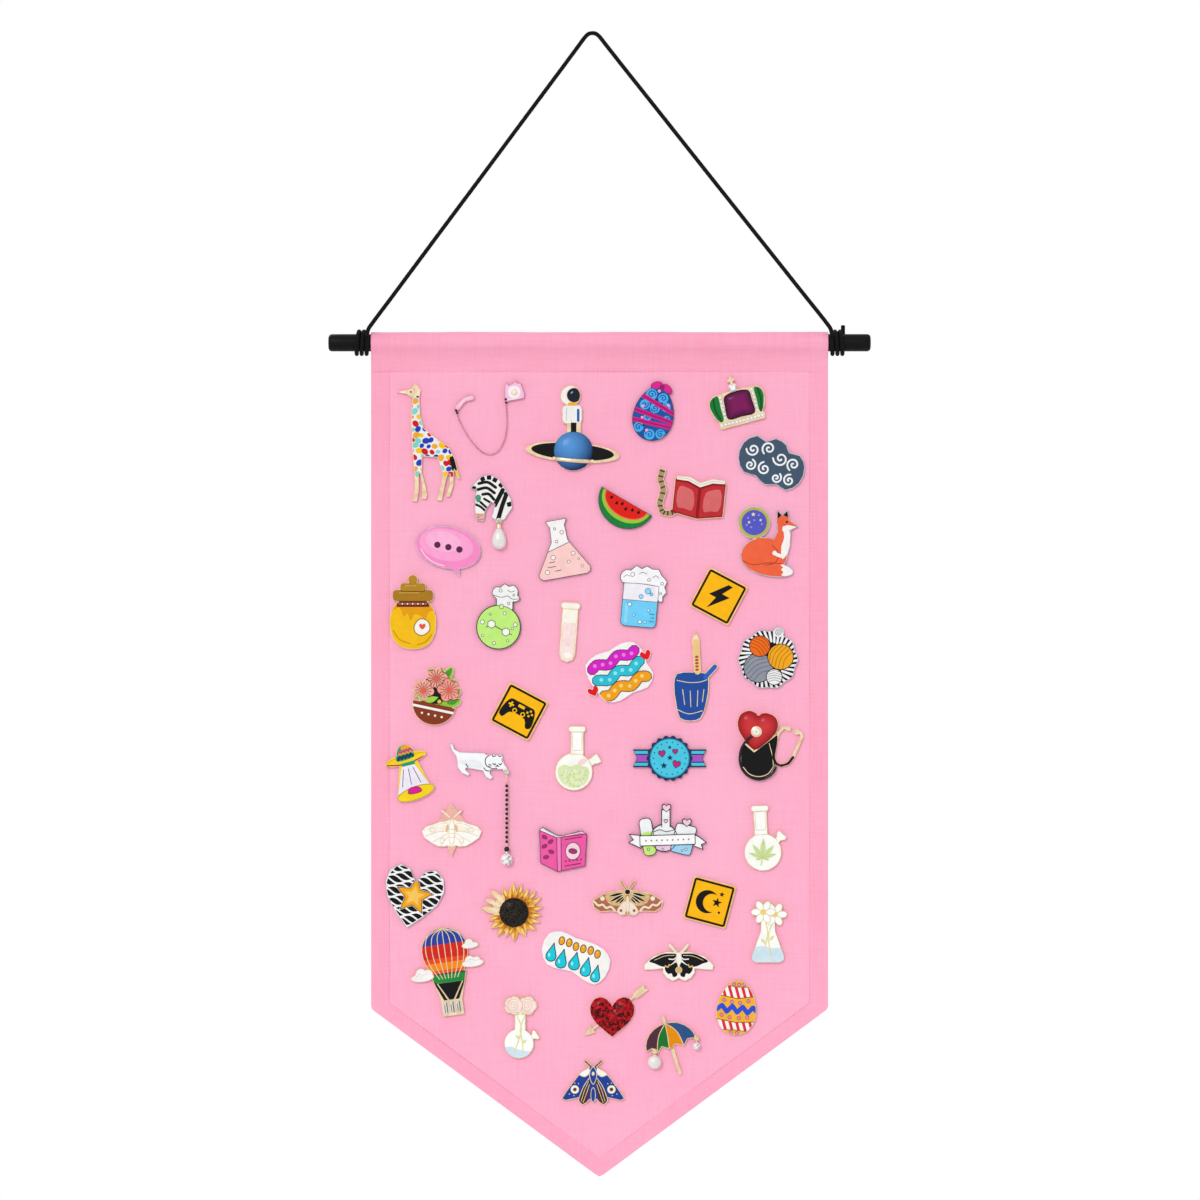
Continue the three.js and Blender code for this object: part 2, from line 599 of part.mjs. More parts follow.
const PINS = [
  { name: "giraffe_pin", at: [-112.3, 46.9], post: [-2, -2], finish: GOLD, shapes: [giraffe] },
  { name: "handset_pin", at: [-75.4, 30.4], post: [-13, 11.6], finish: GOLD, shapes: [handset] },
  { name: "phone_pin", at: [-75.4, 30.4], post: [19.6, 17], finish: GOLD, shapes: [phoneBase] },
  {
    name: "astronaut_pin",
    at: [-17.2, 52],
    finish: GOLD,
    domes: [[0, 0, 12.4, 12.4, 4]],
    shapes: [
      circle(0, 0, 13, 24),
      ellipse(-0.5, -0.9, 31, 6.7, -4.5, 28),
      circle(-1.8, 36.3, 6.7, 20),
      roundedBox(-0.8, 24, 13.2, 13, 3),
      box(0.4, 16, 9, 9),
    ],
  },
  {
    name: "blue_egg_pin",
    at: [35.6, 27.4],
    turn: -12,
    finish: BLACK_METAL,
    shapes: [
      egg(26.6, 36),
      ellipse(-2, 18.6, 4, 2.4, 25),
      ellipse(5.4, 17.6, 4, 2.4, -35),
      circle(1.8, 18, 2),
    ],
  },
  {
    name: "crown_pin",
    at: [90.6, 21.2],
    turn: 15,
    finish: GOLD,
    domes: [[0.6, -0.4, 8.8, 7.8, 3]],
    shapes: [
      roundedBox(0.2, -11, 31, 5, 1.4),
      crownTop,
      circle(-0.3, 11, 3.1),
      box(-0.3, 15.8, 1.7, 6),
      box(-0.3, 16.2, 5, 1.7),
    ],
  },
  {
    name: "zebra_pin",
    at: [-71.1, 82.2],
    post: [2, 4],
    finish: SILVER,
    studs: [[5.1, -15.6]],
    shapes: [zebraHead, circle(5.1, -15.6, 2.2, 12)],
  },
  {
    name: "watermelon_pin",
    at: [18, 85],
    turn: -30.1,
    post: [0, -7],
    finish: BLACK_METAL,
    shapes: [halfDisc(19.1, 17.9)],
  },
  {
    name: "red_book_pin",
    at: [59.4, 81.4],
    turn: -6,
    post: [6, 0],
    finish: GOLD,
    shapes: [
      openBook,
      stroke([[-6, -9], [-12, -13], [-17, -12.6], [-19.4, -7], [-17.6, 2], [-20.6, 9], [-19.6, 16]], 4.6),
    ],
  },
  { name: "cloud_pin", at: [112.9, 59.4], turn: -25, finish: SILVER, shapes: [cloud] },
  {
    name: "bubble_pin",
    at: [-99.3, 115.5],
    turn: -12,
    finish: SILVER,
    shapes: [ellipse(0, 0, 21.7, 13.8, 0, 32), [[3, -11], [10, -11], [11.3, -17.1]]],
  },
  {
    name: "pink_flask_pin",
    at: [-25.4, 116],
    turn: 10,
    finish: BLACK_METAL,
    shapes: [coneFlask(10, 5, 34.6, 38)],
  },
  {
    name: "fox_pin",
    at: [110.5, 111],
    post: [-2, -9],
    finish: SILVER,
    shapes: [
      circle(-9, 12, 10.6, 24),
      ellipse(-2.5, -9.5, 15.5, 12),
      ellipse(2, -18.5, 15, 5, -8),
      foxChest,
      foxHead,
    ],
  },
  {
    name: "honey_pot_pin",
    at: [-122.5, 157.5],
    post: [0, -6],
    finish: GOLD,
    shapes: [honeyPot, roundedBox(0, 10.6, 27, 8, 2.5), roundedBox(0, 16, 17, 6, 2), circle(0, 21, 3.4)],
  },
  {
    name: "green_flask_pin",
    at: [-66.3, 167.6],
    finish: BLACK_METAL,
    shapes: [
      circle(0, 0, 14.7, 26),
      box(4, 17, 11.5, 11),
      neckFoam,
    ],
  },
  {
    name: "test_tube_pin",
    at: [-20.2, 170.9],
    turn: -4.3,
    finish: GOLD,
    shapes: [
      roundedBox(0, -2, 10.6, 35.6, 5.2),
      box(0, 10.8, 10.6, 11),
      roundedBox(0, 17.4, 12.8, 4.4, 1.9),
    ],
  },
  {
    name: "beaker_pin",
    at: [26.5, 151.5],
    turn: -5,
    finish: BLACK_METAL,
    shapes: [
      roundedBox(0, -1, 23.4, 30, 2.6),
      foam,
    ],
  },
  { name: "bolt_sign_pin", at: [78.3, 147.5], turn: -28, finish: GOLD, shapes: [diamondSign] },
  {
    name: "flower_basket_pin",
    at: [-107.4, 212.7],
    turn: -12,
    post: [0, -8],
    finish: GOLD,
    shapes: [
      moved(halfDisc(14.4, 14), 0, -5.4),
      ellipse(0, -3.6, 11, 4),
      flower(-8.8, 2, 7.6, 5.4, 5),
      flower(-2, 11.2, 8.2, 6, 5),
      flower(7.6, 5.4, 8.4, 6, 5),
      ellipse(12.6, -2, 5, 3, 35),
      ellipse(5, 15, 3, 6, -15),
    ],
  },
  { name: "game_sign_pin", at: [-52.8, 223.1], turn: -28, finish: GOLD, shapes: [diamondSign] },
  {
    name: "wavy_bands_pin",
    at: [13, 197.7],
    turn: 25,
    finish: WHITE_ENAMEL,
    shapes: [wavyPlaque, heart(-20.6, -4, 8, 7.4), heart(20.8, 3, 8, 7.4)],
  },
  {
    name: "pencil_pot_pin",
    at: [62.5, 200.5],
    post: [-3, -12],
    finish: GOLD,
    shapes: [
      pencilPot,
      bar([2, 0], [0.6, 25], 4.8),
      [[-1.8, 25], [3, 25.3], [0.4, 30]],
      bar([6, -1], [13.2, 7], 4),
    ],
  },
  {
    name: "yarn_pin",
    at: [110.6, 188.7],
    finish: SILVER,
    shapes: [scalloped(19.2, 0.7, 10), circle(7, 17.6, 3.6)],
  },
  {
    name: "saucer_pin",
    at: [-124.8, 262.8],
    post: [0, -5],
    finish: GOLD,
    shapes: [
      ellipse(-2.6, 11.7, 6, 6.6, 16),
      ellipse(-2.4, 8.7, 14.2, 3.8, 17.4, 24),
      [[-6.6, 6], [4.4, 9.4], [14.2, -9], [-7.6, -16]],
      ellipse(4.4, -13.6, 13, 4.6, 20, 24),
    ],
  },
  {
    name: "cat_pin",
    at: [-79.3, 255.5],
    post: [-2, 1],
    finish: SILVER,
    studs: [[18.4, -7]],
    shapes: [
      catShape,
      circle(18.4, -7, 2, 10),
    ],
  },
  {
    name: "round_flask_pin",
    at: [-16.9, 262.5],
    finish: GOLD,
    shapes: [...roundFlask(12.4, 2.2, 8.4, 28), horn([7.9, 4.5], [16.8, 9.4], 5, 6.4)],
  },
  { name: "rosette_pin", at: [46, 253.7], finish: BLACK_METAL, shapes: [scalloped(14.4, 0.8, 18), ribbon] },
  {
    name: "stethoscope_pin",
    at: [104.5, 244.9],
    post: [0, -8],
    finish: GOLD,
    domes: [[-1, 10.5, 10, 7, 3]],
    shapes: [
      tiltedHeart,
      doctorBag,
      stroke(earTube, 2),
      stroke([[9.6, -3], [11.4, 3], [13, 8], [16.4, 11.4], [19.4, 11]], 2),
      circle(19.4, 11, 1.9, 10),
      circle(24.9, 8.5, 1.9, 10),
    ],
  },
  {
    name: "white_moth_pin",
    at: [-97, 303],
    finish: GOLD,
    shapes: [whiteMoth, [[0, 19.6], [9, 7], [0, -15], [-9, 7]], ...feelers([0.8, 10], [6.4, 15], 1.6)],
  },
  { name: "pink_book_pin", at: [-24.1, 314], finish: BLACK_METAL, shapes: [pinkBook] },
  {
    name: "lab_ribbon_pin",
    at: [44.5, 303],
    post: [0, -5.4],
    finish: BLACK_METAL,
    shapes: [
      roundedBox(-13, -2.3, 8.6, 25, 3, 9.5),
      circle(-2.2, -3, 9.2, 20),
      box(-1, 9, 6, 14),
      heart(-0.6, 16.6, 6.4, 5.6),
      roundedBox(10.6, -3.8, 14, 19.6, 2, -14),
      heart(12.8, 7, 6.4, 5.6),
      box(0.1, -4.3, 36.6, 7, 1.9),
      ribbonLeft,
      ribbonRight,
    ],
  },
  {
    name: "leaf_flask_pin",
    at: [107.2, 315.3],
    turn: 3,
    finish: GOLD,
    shapes: [...roundFlask(12.3, -0.6, 8.8, 28.8), horn([7.4, 4.8], [13.8, 11.4], 3.8, 7.2)],
  },
  { name: "star_heart_pin", at: [-122.6, 345], turn: -11, finish: SILVER, shapes: [heart(0, 0, 39.4, 40.6)] },
  {
    name: "sunflower_pin",
    at: [-56.1, 354.9],
    finish: GOLD,
    domes: [[0, 0, 9.4, 9.4, 2.6]],
    shapes: [petals(SUNFLOWER_TIPS, 13.4)],
  },
  {
    name: "brown_moth_pin",
    at: [18.4, 346.9],
    finish: GOLD,
    shapes: [brownMoth, ...feelers([0.9, 7], [4.6, 12.4], 1.7)],
  },
  { name: "moon_sign_pin", at: [72.3, 348.2], turn: -15, finish: GOLD, shapes: [diamondSign] },
  {
    name: "daisy_flask_pin",
    at: [111.3, 367.3],
    post: [0, -14],
    finish: GOLD,
    shapes: [
      moved(coneFlask(8.8, 2, 21.6, 37), -0.8, -2),
      flower(-3.9, 12.7, 8.3, 5.2, 6),
      flower(3.8, 11.2, 8.3, 5.2, 6),
    ],
  },
  {
    name: "balloon_pin",
    at: [-99.6, 393.9],
    turn: 8,
    post: [0, 12],
    finish: GOLD,
    shapes: [
      balloon,
      [[-11.4, -1], [12.4, 0], [6.8, -19], [-6.8, -19]],
      box(0, -23.2, 14, 11),
      ellipse(-16.9, -1.4, 7.7, 3),
      circle(-17.6, 1, 3.8),
      circle(-13.2, 0.2, 3.4),
      ellipse(17, 15.4, 5.6, 2.2),
      circle(16.4, 17, 2.9),
      ellipse(17.1, 3.6, 7.3, 2.7),
      circle(15.4, 5.4, 3.4),
      circle(19.8, 4.8, 2.9),
    ],
  },
  { name: "bubbles_pin", at: [-16, 384.5], turn: -20, finish: WHITE_ENAMEL, shapes: [bubblePlaque] },
  {
    name: "black_moth_pin",
    at: [52, 388],
    finish: GOLD,
    shapes: [blackMoth, ...feelers([1.2, 6.4], [5.8, 11.6], 2)],
  },
  {
    name: "rose_flask_pin",
    at: [-52.9, 440.9],
    finish: GOLD,
    shapes: [
      circle(0, 0, 9.8, 24),
      box(0.8, 15, 7.2, 14),
      flower(-3.6, 25, 6.6, 5.4, 5),
      flower(5.6, 25, 6.6, 5.4, 5),
      horn([6, 2.4], [12, 6.4], 3.4, 6.6),
    ],
  },
  {
    name: "arrow_heart_pin",
    at: [8.3, 423.5],
    finish: GOLD,
    domes: [[0, -1, 9.6, 7.2, 2.6]],
    shapes: [
      heart(0, 0, 29.7, 26.4),
      bar([-15.1, -9.8], [18.1, 16.3], 1.4),
      moved(arrowHead, -15.1, -9.8, 218),
      moved(arrowFeather, 18.1, 16.3, 38),
    ],
  },
  {
    name: "umbrella_pin",
    at: [47, 441.7],
    turn: 16,
    post: [2, 7],
    finish: GOLD,
    studs: [[-11.7, -1.1], [17.2, -0.4]],
    shapes: [
      canopy,
      bar([0, 12], [0, 19.2], 2),
      bar([0, 0], [0.4, -19.4], 2.2),
      circle(-11.7, -1.1, 2, 10),
      circle(17.2, -0.4, 1.9, 10),
    ],
  },
  { name: "striped_egg_pin", at: [89.9, 417.4], turn: -5, finish: GOLD, shapes: [egg(26.2, 36.2)] },
  {
    name: "blue_moth_pin",
    at: [-4.2, 467.6],
    finish: GOLD,
    shapes: [blueMoth, ...feelers([0.8, 11], [5.2, 15], 1.9)],
  },
];

// Pin parts

// A post with a sharp end, soldered to a plate's back
function post([u, v]) {
  const radius = POST_DIAMETER / 2;
  const neck = POST_LENGTH - POST_POINT;
  const profile = [[0, -SOLDER_DEPTH], [radius, -SOLDER_DEPTH], [radius, neck], [0, POST_LENGTH]];
  return spun(profile, POST_SIDES).translate(u, 0, v);
}

// A headed stud on a plate's face
function stud([u, v]) {
  const shank = STUD_DIAMETER / 2;
  const head = STUD_HEAD_DIAMETER / 2;
  const underHead = -PLATE_THICKNESS - studLength;
  const front = underHead - STUD_HEAD_THICKNESS;
  const root = SOLDER_DEPTH - PLATE_THICKNESS;
  const headEdge = [[0, front], [head, front], [head, underHead]];
  const profile = [...headEdge, [shank, underHead], [shank, root], [0, root]];
  return spun(profile, STUD_SIDES).translate(u, 0, v);
}

// A low dome on a plate's face
function dome([u, v, across, up, rise]) {
  const height = rise + SOLDER_DEPTH;
  const curve = [1, 0.75, 0.4, 0].map((t) => (Math.PI / 2) * t);
  const profile = [...curve.map((angle) => [Math.cos(angle), -Math.sin(angle)]), [0, 0]];
  profile[0][0] = 0;
  return spun(profile, 14).scale(across, height, up).translate(u, SOLDER_DEPTH - PLATE_THICKNESS, v);
}

// A point of a pin, seen on the cloth
function onCloth({ at: [x, below], turn = 0 }, point) {
  return moved([point], x, panelTop - below, turn)[0];
}

function pin(spec) {
  const { name, turn = 0, post: postPoint = [0, 0], domes = [], studs = [], shapes, finish } = spec;
  const plates = shapes.map((outline) => slab(shapeOf(outline), 0, PLATE_THICKNESS));
  const added = [post(postPoint), ...domes.map(dome), ...studs.map(stud)];
  const made = mesh(name, joined([...plates, ...added]), finish);
  const [x, z] = onCloth(spec, [0, 0]);
  made.position.set(x, plateBack, z);
  made.rotation.y = -THREE.MathUtils.degToRad(turn);
  return made;
}

function phoneChain() {
  const { at: [x, below] } = PINS.find(({ name }) => name === "phone_pin");
  const middle = plateBack - PLATE_THICKNESS / 2;
  const curve = new THREE.CatmullRomCurve3(PHONE_CHAIN.map(([u, v]) => new THREE.Vector3(u, 0, v)));
  const points = curve.getSpacedPoints(CHAIN_STEPS);
  const geometry = tube(points, CHAIN_DIAMETER / 2, 6, new THREE.Vector3(0, 1, 0));
  geometry.translate(x, middle, panelTop - below);
  return mesh("phone_chain", geometry, GOLD);
}

// A drop on a pin's stud, whose profile is [radius, distance below the stud] from the top down
function drop(name, pinName, studIndex, profile, finish) {
  const owner = PINS.find((spec) => spec.name === pinName);
  const [x, z] = onCloth(owner, owner.studs[studIndex]);
  const ring = shapeOf(circle(0, 0, eyeBore + EYE_RIM));
  ring.holes.push(shapeOf(circle(0, 0, eyeBore)));
  const eye = new THREE.ExtrudeGeometry(ring, { depth: EYE_THICKNESS, bevelEnabled: false });
  eye.translate(0, 0, -EYE_THICKNESS / 2).rotateX(Math.PI / 2);
  const neck = eyeBore + EYE_RIM / 2;
  const lower = profile.map(([radius, below]) => [radius, -below]).reverse();
  const bob = spun([...lower, [CHAIN_DIAMETER / 2, -neck], [0, -neck]], DROP_SIDES);
  bob.rotateX(Math.PI / 2).scale(1, DROP_FLATNESS, 1);
  const made = mesh(name, joined([eye, bob]), finish);
  made.position.set(x, plateBack - PLATE_THICKNESS - studLength / 2, z);
  return made;
}

function ball(middle, radius) {
  return [-0.9, -0.5, 0, 0.5, 0.9].map((t) => {
    const angle = (Math.PI / 2) * t;
    return [radius * Math.cos(angle), middle + radius * Math.sin(angle)];
  });
}

const PEARL_DROP = [[1.4, 3.2], [1.9, 4.6], [3.2, 8], [4.7, 12.4], [4.6, 15], [3.2, 17.6], [0, 18.8]];
const BEADS = Array.from({ length: 10 }, (_, i) => 6 + 4.6 * i);
const BEAD_CHAIN = [
  ...BEADS.flatMap((below) => [[0.45, below - 1], [1.05, below], [0.45, below + 1]]),
  ...ball(57.6, 4.1),
  [0, 61.7],
];
const UMBRELLA_PEARL = [...ball(7.1, 4.6), [0, 11.7]];
const UMBRELLA_CRYSTAL = [...ball(5.2, 2.6), [0, 7.8]];

// The whole banner

const banner = new THREE.Group();
banner.position.set(HANG_OFFSET, 0, -HANG_HEIGHT);
banner.add(
  dowel(),
  winding("left_winding", -1, LEFT_TAIL),
  winding("right_winding", 1, RIGHT_TAIL),
  rodPocket(),
  bannerPanel(PINS.map((spec) => onCloth(spec, spec.post ?? [0, 0]))),
  ...PINS.map(pin),
  phoneChain(),
  drop("zebra_pearl", "zebra_pin", 0, PEARL_DROP, PEARL),
  drop("cat_chain", "cat_pin", 0, BEAD_CHAIN, BLACK_METAL),
  drop("umbrella_pearl", "umbrella_pin", 0, UMBRELLA_PEARL, PEARL),
  drop("umbrella_crystal", "umbrella_pin", 1, UMBRELLA_CRYSTAL, SILVER),
);

const group = new THREE.Group();
group.add(hangingCord(), banner);

export default group;
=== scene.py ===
"""Looks of the pin badge board: a pink canvas pennant on a black dowel, with its pins and brooches."""
import math

import bpy
import numpy as np
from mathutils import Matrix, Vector
from mathutils.geometry import delaunay_2d_cdt


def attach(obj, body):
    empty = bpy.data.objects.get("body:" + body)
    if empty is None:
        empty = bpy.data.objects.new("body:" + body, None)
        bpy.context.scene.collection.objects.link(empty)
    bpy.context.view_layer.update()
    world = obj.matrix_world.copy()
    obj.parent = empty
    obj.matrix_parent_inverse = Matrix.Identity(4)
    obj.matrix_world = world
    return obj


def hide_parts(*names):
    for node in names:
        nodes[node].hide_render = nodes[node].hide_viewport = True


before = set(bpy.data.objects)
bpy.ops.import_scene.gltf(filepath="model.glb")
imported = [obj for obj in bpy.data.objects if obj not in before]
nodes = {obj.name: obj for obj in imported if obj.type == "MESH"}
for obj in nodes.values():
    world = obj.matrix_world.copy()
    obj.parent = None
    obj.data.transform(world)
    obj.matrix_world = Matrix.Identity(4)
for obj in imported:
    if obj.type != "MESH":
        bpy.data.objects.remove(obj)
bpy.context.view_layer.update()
scene = bpy.context.scene

# Lengths are in mm until a piece is built
MM = 0.001

# Places in the frame: the centre line, the dowel, the seam below it, the plates' fronts and the cloth's edges
CENTRE_X = 4.7
DOWEL_Z = -202
PANEL_TOP = -221.2
PLATE_FRONT = -2.9
CLOTH_HALF = 150
CORNER_Z = -639.4
TIP_Z = -750.2

# Paints that recur. BARE leaves the plate's metal open, and PLATE stands for the plate's whole outline
INK = "#0e0d10"
BLACK = "#0e0d0e"
WHITE = "#f6f4f1"
BARE = "bare"
PLATE = "plate"

# Pins: right of the cloth's centre line, below the seam, turn to the left
PINS = {
    "giraffe": (-112.3, 46.9, 0),
    "handset": (-75.4, 30.4, 0),
    "phone": (-75.4, 30.4, 0),
    "astronaut": (-17.2, 52, 0),
    "blue_egg": (35.6, 27.4, -12),
    "crown": (90.6, 21.2, 15),
    "zebra": (-71.1, 82.2, 0),
    "watermelon": (18, 85, -30.1),
    "red_book": (59.4, 81.4, -6),
    "cloud": (112.9, 59.4, -25),
    "bubble": (-99.3, 115.5, -12),
    "pink_flask": (-25.4, 116, 10),
    "fox": (110.5, 111, 0),
    "honey_pot": (-122.5, 157.5, 0),
    "green_flask": (-66.3, 167.6, 0),
    "test_tube": (-20.2, 170.9, -4.3),
    "beaker": (26.5, 151.5, -5),
    "bolt_sign": (78.3, 147.5, -28),
    "flower_basket": (-107.4, 212.7, -12),
    "game_sign": (-52.8, 223.1, -28),
    "wavy_bands": (13, 197.7, 25),
    "pencil_pot": (62.5, 200.5, 0),
    "yarn": (110.6, 188.7, 0),
    "saucer": (-124.8, 262.8, 0),
    "cat": (-79.3, 255.5, 0),
    "round_flask": (-16.9, 262.5, 0),
    "rosette": (46, 253.7, 0),
    "stethoscope": (104.5, 244.9, 0),
    "white_moth": (-97, 303, 0),
    "pink_book": (-24.1, 314, 0),
    "lab_ribbon": (44.5, 303, 0),
    "leaf_flask": (107.2, 315.3, 3),
    "star_heart": (-122.6, 345, -11),
    "sunflower": (-56.1, 354.9, 0),
    "brown_moth": (18.4, 346.9, 0),
    "moon_sign": (72.3, 348.2, -15),
    "daisy_flask": (111.3, 367.3, 0),
    "balloon": (-99.6, 393.9, 8),
    "bubbles": (-16, 384.5, -20),
    "black_moth": (52, 388, 0),
    "rose_flask": (-52.9, 440.9, 0),
    "arrow_heart": (8.3, 423.5, 0),
    "umbrella": (47, 441.7, 16),
    "striped_egg": (89.9, 417.4, -5),
    "blue_moth": (-4.2, 467.6, 0),
}

# Each plate's metal, gold if it isn't listed
FINISH = {
    "black": "blue_egg watermelon pink_flask green_flask beaker rosette pink_book lab_ribbon",
    "silver": "zebra cloud bubble fox yarn cat star_heart",
    "white": "wavy_bands bubbles",
    "rose": "handset phone",
}

# Where a pin's post is, if it isn't at the pin's own origin
POSTS = {
    "giraffe": (-2, -2), "handset": (-13, 11.6), "phone": (19.6, 17), "zebra": (2, 4),
    "watermelon": (0, -7), "red_book": (6, 0), "fox": (-2, -9), "honey_pot": (0, -6),
    "flower_basket": (0, -8), "pencil_pot": (-3, -12), "saucer": (0, -5), "cat": (-2, 1),
    "stethoscope": (0, -8), "lab_ribbon": (0, -5.4), "daisy_flask": (0, -14), "balloon": (0, 12),
    "umbrella": (2, 7),
}

# The cord's free stretch, from the left winding over the hook to the right one
CORD_ROUTE = [
    (-147.5, -7.4, -198.9), (-147.5, -7.4, -196.4), (-146.6, -7.4, -193.1), (-144.5, -7.3, -190),
    (-130.6, -6.6, -171.3), (-99.7, -5, -129.5), (-69.9, -3.4, -89.3), (-40.2, -1.9, -49.1),
    (-19.4, -0.9, -21), (-9.3, -0.4, -7.3), (-4.5, -0.2, -0.9), (-2.4, -0.1, 0.9), (0, 0, 1.4),
    (2.4, -0.1, 0.9), (4.4, -0.2, -0.7), (9.4, -0.4, -7), (19.9, -0.9, -20.4), (41.6, -1.9, -47.8),
    (72.6, -3.4, -87.1), (103.6, -5, -126.3), (135.8, -6.6, -167.1), (153.9, -7.3, -190),
    (156, -7.4, -193.1), (156.9, -7.4, -196.4), (156.9, -7.4, -198.9),
]


# Curves and outlines, as lists of (right, up)

def through(points, steps=4, closed=False):
    """A smooth curve through the points."""
    points = [Vector(point) for point in points]
    if closed:
        points = [points[-1], *points, points[0], points[1]]
    else:
        points = [2 * points[0] - points[1], *points, 2 * points[-1] - points[-2]]
    curve = []
    for p0, p1, p2, p3 in zip(points, points[1:], points[2:], points[3:]):
        t1 = (p1 - p0).length ** 0.5
        t2 = t1 + (p2 - p1).length ** 0.5
        t3 = t2 + (p3 - p2).length ** 0.5
        for i in range(steps):
            t = t1 + (t2 - t1) * i / steps
            a1 = p0.lerp(p1, t / t1)
            a2 = p1.lerp(p2, (t - t1) / (t2 - t1))
            a3 = p2.lerp(p3, (t - t2) / (t3 - t2))
            b1 = a1.lerp(a2, t / t2)
            b2 = a2.lerp(a3, (t - t1) / (t3 - t1))
            curve.append(b1.lerp(b2, (t - t1) / (t2 - t1)))
    if not closed:
        curve.append(points[-2])
    return curve


def soft(points):
    """A smooth closed outline through the points."""
    return through(points, 3, closed=True)


def spaced(curve, pitch):
    """The curve again, with points at an even pitch."""
    points = [curve[0]]
    left = pitch
    for start, end in zip(curve, curve[1:]):
        length = (end - start).length
        done = 0
        while length - done >= left:
            done += left
            points.append(start.lerp(end, done / length))
            left = pitch
        left -= length - done
    points.append(curve[-1])
    return points


def polar(reach, degrees, u=0, v=0):
    """The point at a reach and a turn from (u, v)."""
    turn = math.radians(degrees)
    return u + reach * math.cos(turn), v + reach * math.sin(turn)


def shifted(shape, u=0, v=0, degrees=0, scale=1):
    cos = scale * math.cos(math.radians(degrees))
    sin = scale * math.sin(math.radians(degrees))
    return [(u + pu * cos - pv * sin, v + pu * sin + pv * cos) for pu, pv in shape]


def around(sides, reach):
    """An outline whose reach depends on the turn."""
    turns = [2 * math.pi * i / sides for i in range(sides)]
    return [(reach(turn) * math.cos(turn), reach(turn) * math.sin(turn)) for turn in turns]


def oval(u, v, across, up, degrees=0, sides=28):
    shape = [(across * pu, up * pv) for pu, pv in around(sides, lambda turn: 1)]
    return shifted(shape, u, v, degrees)


def disc(u, v, radius, sides=24):
    return oval(u, v, radius, radius, 0, sides)


def dots(radius, sides, *places):
    return [disc(u, v, radius, sides) for u, v in places]


def block(u, v, width, height, corner=0, degrees=0):
    """A rectangle, with its corners rounded if they have a radius."""
    steps = 4 if corner else 0
    shape = []
    for quarter, (su, sv) in enumerate([(1, 1), (-1, 1), (-1, -1), (1, -1)]):
        for i in range(steps + 1):
            turn = math.pi / 2 * (quarter + (i / steps if steps else 0))
            cu = su * (width / 2 - corner) + corner * math.cos(turn)
            cv = sv * (height / 2 - corner) + corner * math.sin(turn)
            shape.append((cu, cv))
    return shifted(shape, u, v, degrees)


def half_disc(u, v, across, down):
    turns = [math.pi * (1 + i / 24) for i in range(25)]
    return [(u + across * math.cos(turn), v + down * math.sin(turn)) for turn in turns]


def bloom(u, v, outer, inner, petals, degrees=0):
    """A flower's outline, with rounded petals."""
    def reach(turn):
        return inner + (outer - inner) * abs(math.cos(petals * turn / 2))
    return shifted(around(petals * 8, reach), u, v, degrees)


def star(u, v, outer, inner):
    """A star of five points."""
    shape = []
    for i in range(10):
        turn = math.pi * i / 5
        reach = inner if i % 2 else outer
        shape.append((reach * math.cos(turn), reach * math.sin(turn)))
    return shifted(shape, u, v, 90)


def hexagon(u, v, radius):
    return shifted(around(6, lambda turn: radius), u, v, 30)


def flip(half):
    """A whole outline from its right half, listed from the top down."""
    return [*half, *[(-u, v) for u, v in half[-2:0:-1]]]


def figure(half, u, v, width, height, degrees):
    """A mirrored figure, from the right half of one that is 1 wide and 1 high."""
    return shifted([(pu * width, pv * height) for pu, pv in flip(half)], u, v, degrees)


def heart(u, v, width, height, degrees=0):
    half = [(0, 0.26), (0.05, 0.36), (0.13, 0.45), (0.22, 0.495), (0.3, 0.5), (0.39, 0.46), (0.45, 0.38),
            (0.49, 0.28), (0.5, 0.18), (0.48, 0.06), (0.43, -0.05), (0.34, -0.18), (0.22, -0.3), (0, -0.5)]
    return figure(half, u, v, width, height, degrees)


def drop_shape(u, v, width, height, degrees):
    """A drop with its point up."""
    half = [(0, 0.5), (0.12, 0.3), (0.34, 0.02), (0.48, -0.2), (0.42, -0.4), (0.2, -0.5), (0, -0.52)]
    return figure(half, u, v, width, height, degrees)


def leaf(u, v, length, width, degrees):
    """A pointed leaf that starts at a point."""
    top = [(length * t, width / 2 * math.sin(math.pi * t ** 0.85)) for t in (0, 0.15, 0.3, 0.45, 0.6, 0.8, 1)]
    return shifted([*[(pu, -pv) for pu, pv in top], *top[-2:0:-1]], u, v, degrees)


def petal(degrees, start, end, width):
    """A leaf that points away from the origin."""
    return leaf(*polar(start, degrees), end - start, width, degrees)


def spiral(u, v, radius, turns, start=0, way=1):
    """A curl that winds in from its radius, to the left or, with way -1, to the right."""
    count = int(14 * turns)
    curve = []
    for i in range(count + 1):
        t = i / count
        turn = math.radians(start) + way * 2 * math.pi * turns * t
        reach = radius * (1 - 0.86 * t)
        curve.append((u + reach * math.cos(turn), v + reach * math.sin(turn)))
    return curve


def line(points, width, closed=False):
    """A drawn line of even width, as a bar for each stretch and a round for each corner."""
    points = [Vector(point) for point in points]
    ends = zip(points, points[1:] + points[:1]) if closed else zip(points, points[1:])
    shapes = []
    for start, end in ends:
        along = end - start
        if along.length > 1e-4:
            side = Vector((-along.y, along.x)).normalized() * (width / 2)
            shapes.append([start - side, end - side, end + side, start + side])
    shapes.extend(disc(point.x, point.y, width / 2, 8) for point in points)
    return shapes


def lines(width, *paths):
    return [shape for path in paths for shape in line(path, width)]


def curves(width, *paths):
    """Drawn lines, smooth where they have more than two points."""
    return lines(width, *[path if len(path) == 2 else through(path) for path in paths])


def edges(width, *outlines):
    return [shape for outline in outlines for shape in line(outline, width, closed=True)]


def both(*shapes):
    """The shapes and their mirror images."""
    return [*shapes, *[[(-u, v) for u, v in shape] for shape in shapes]]


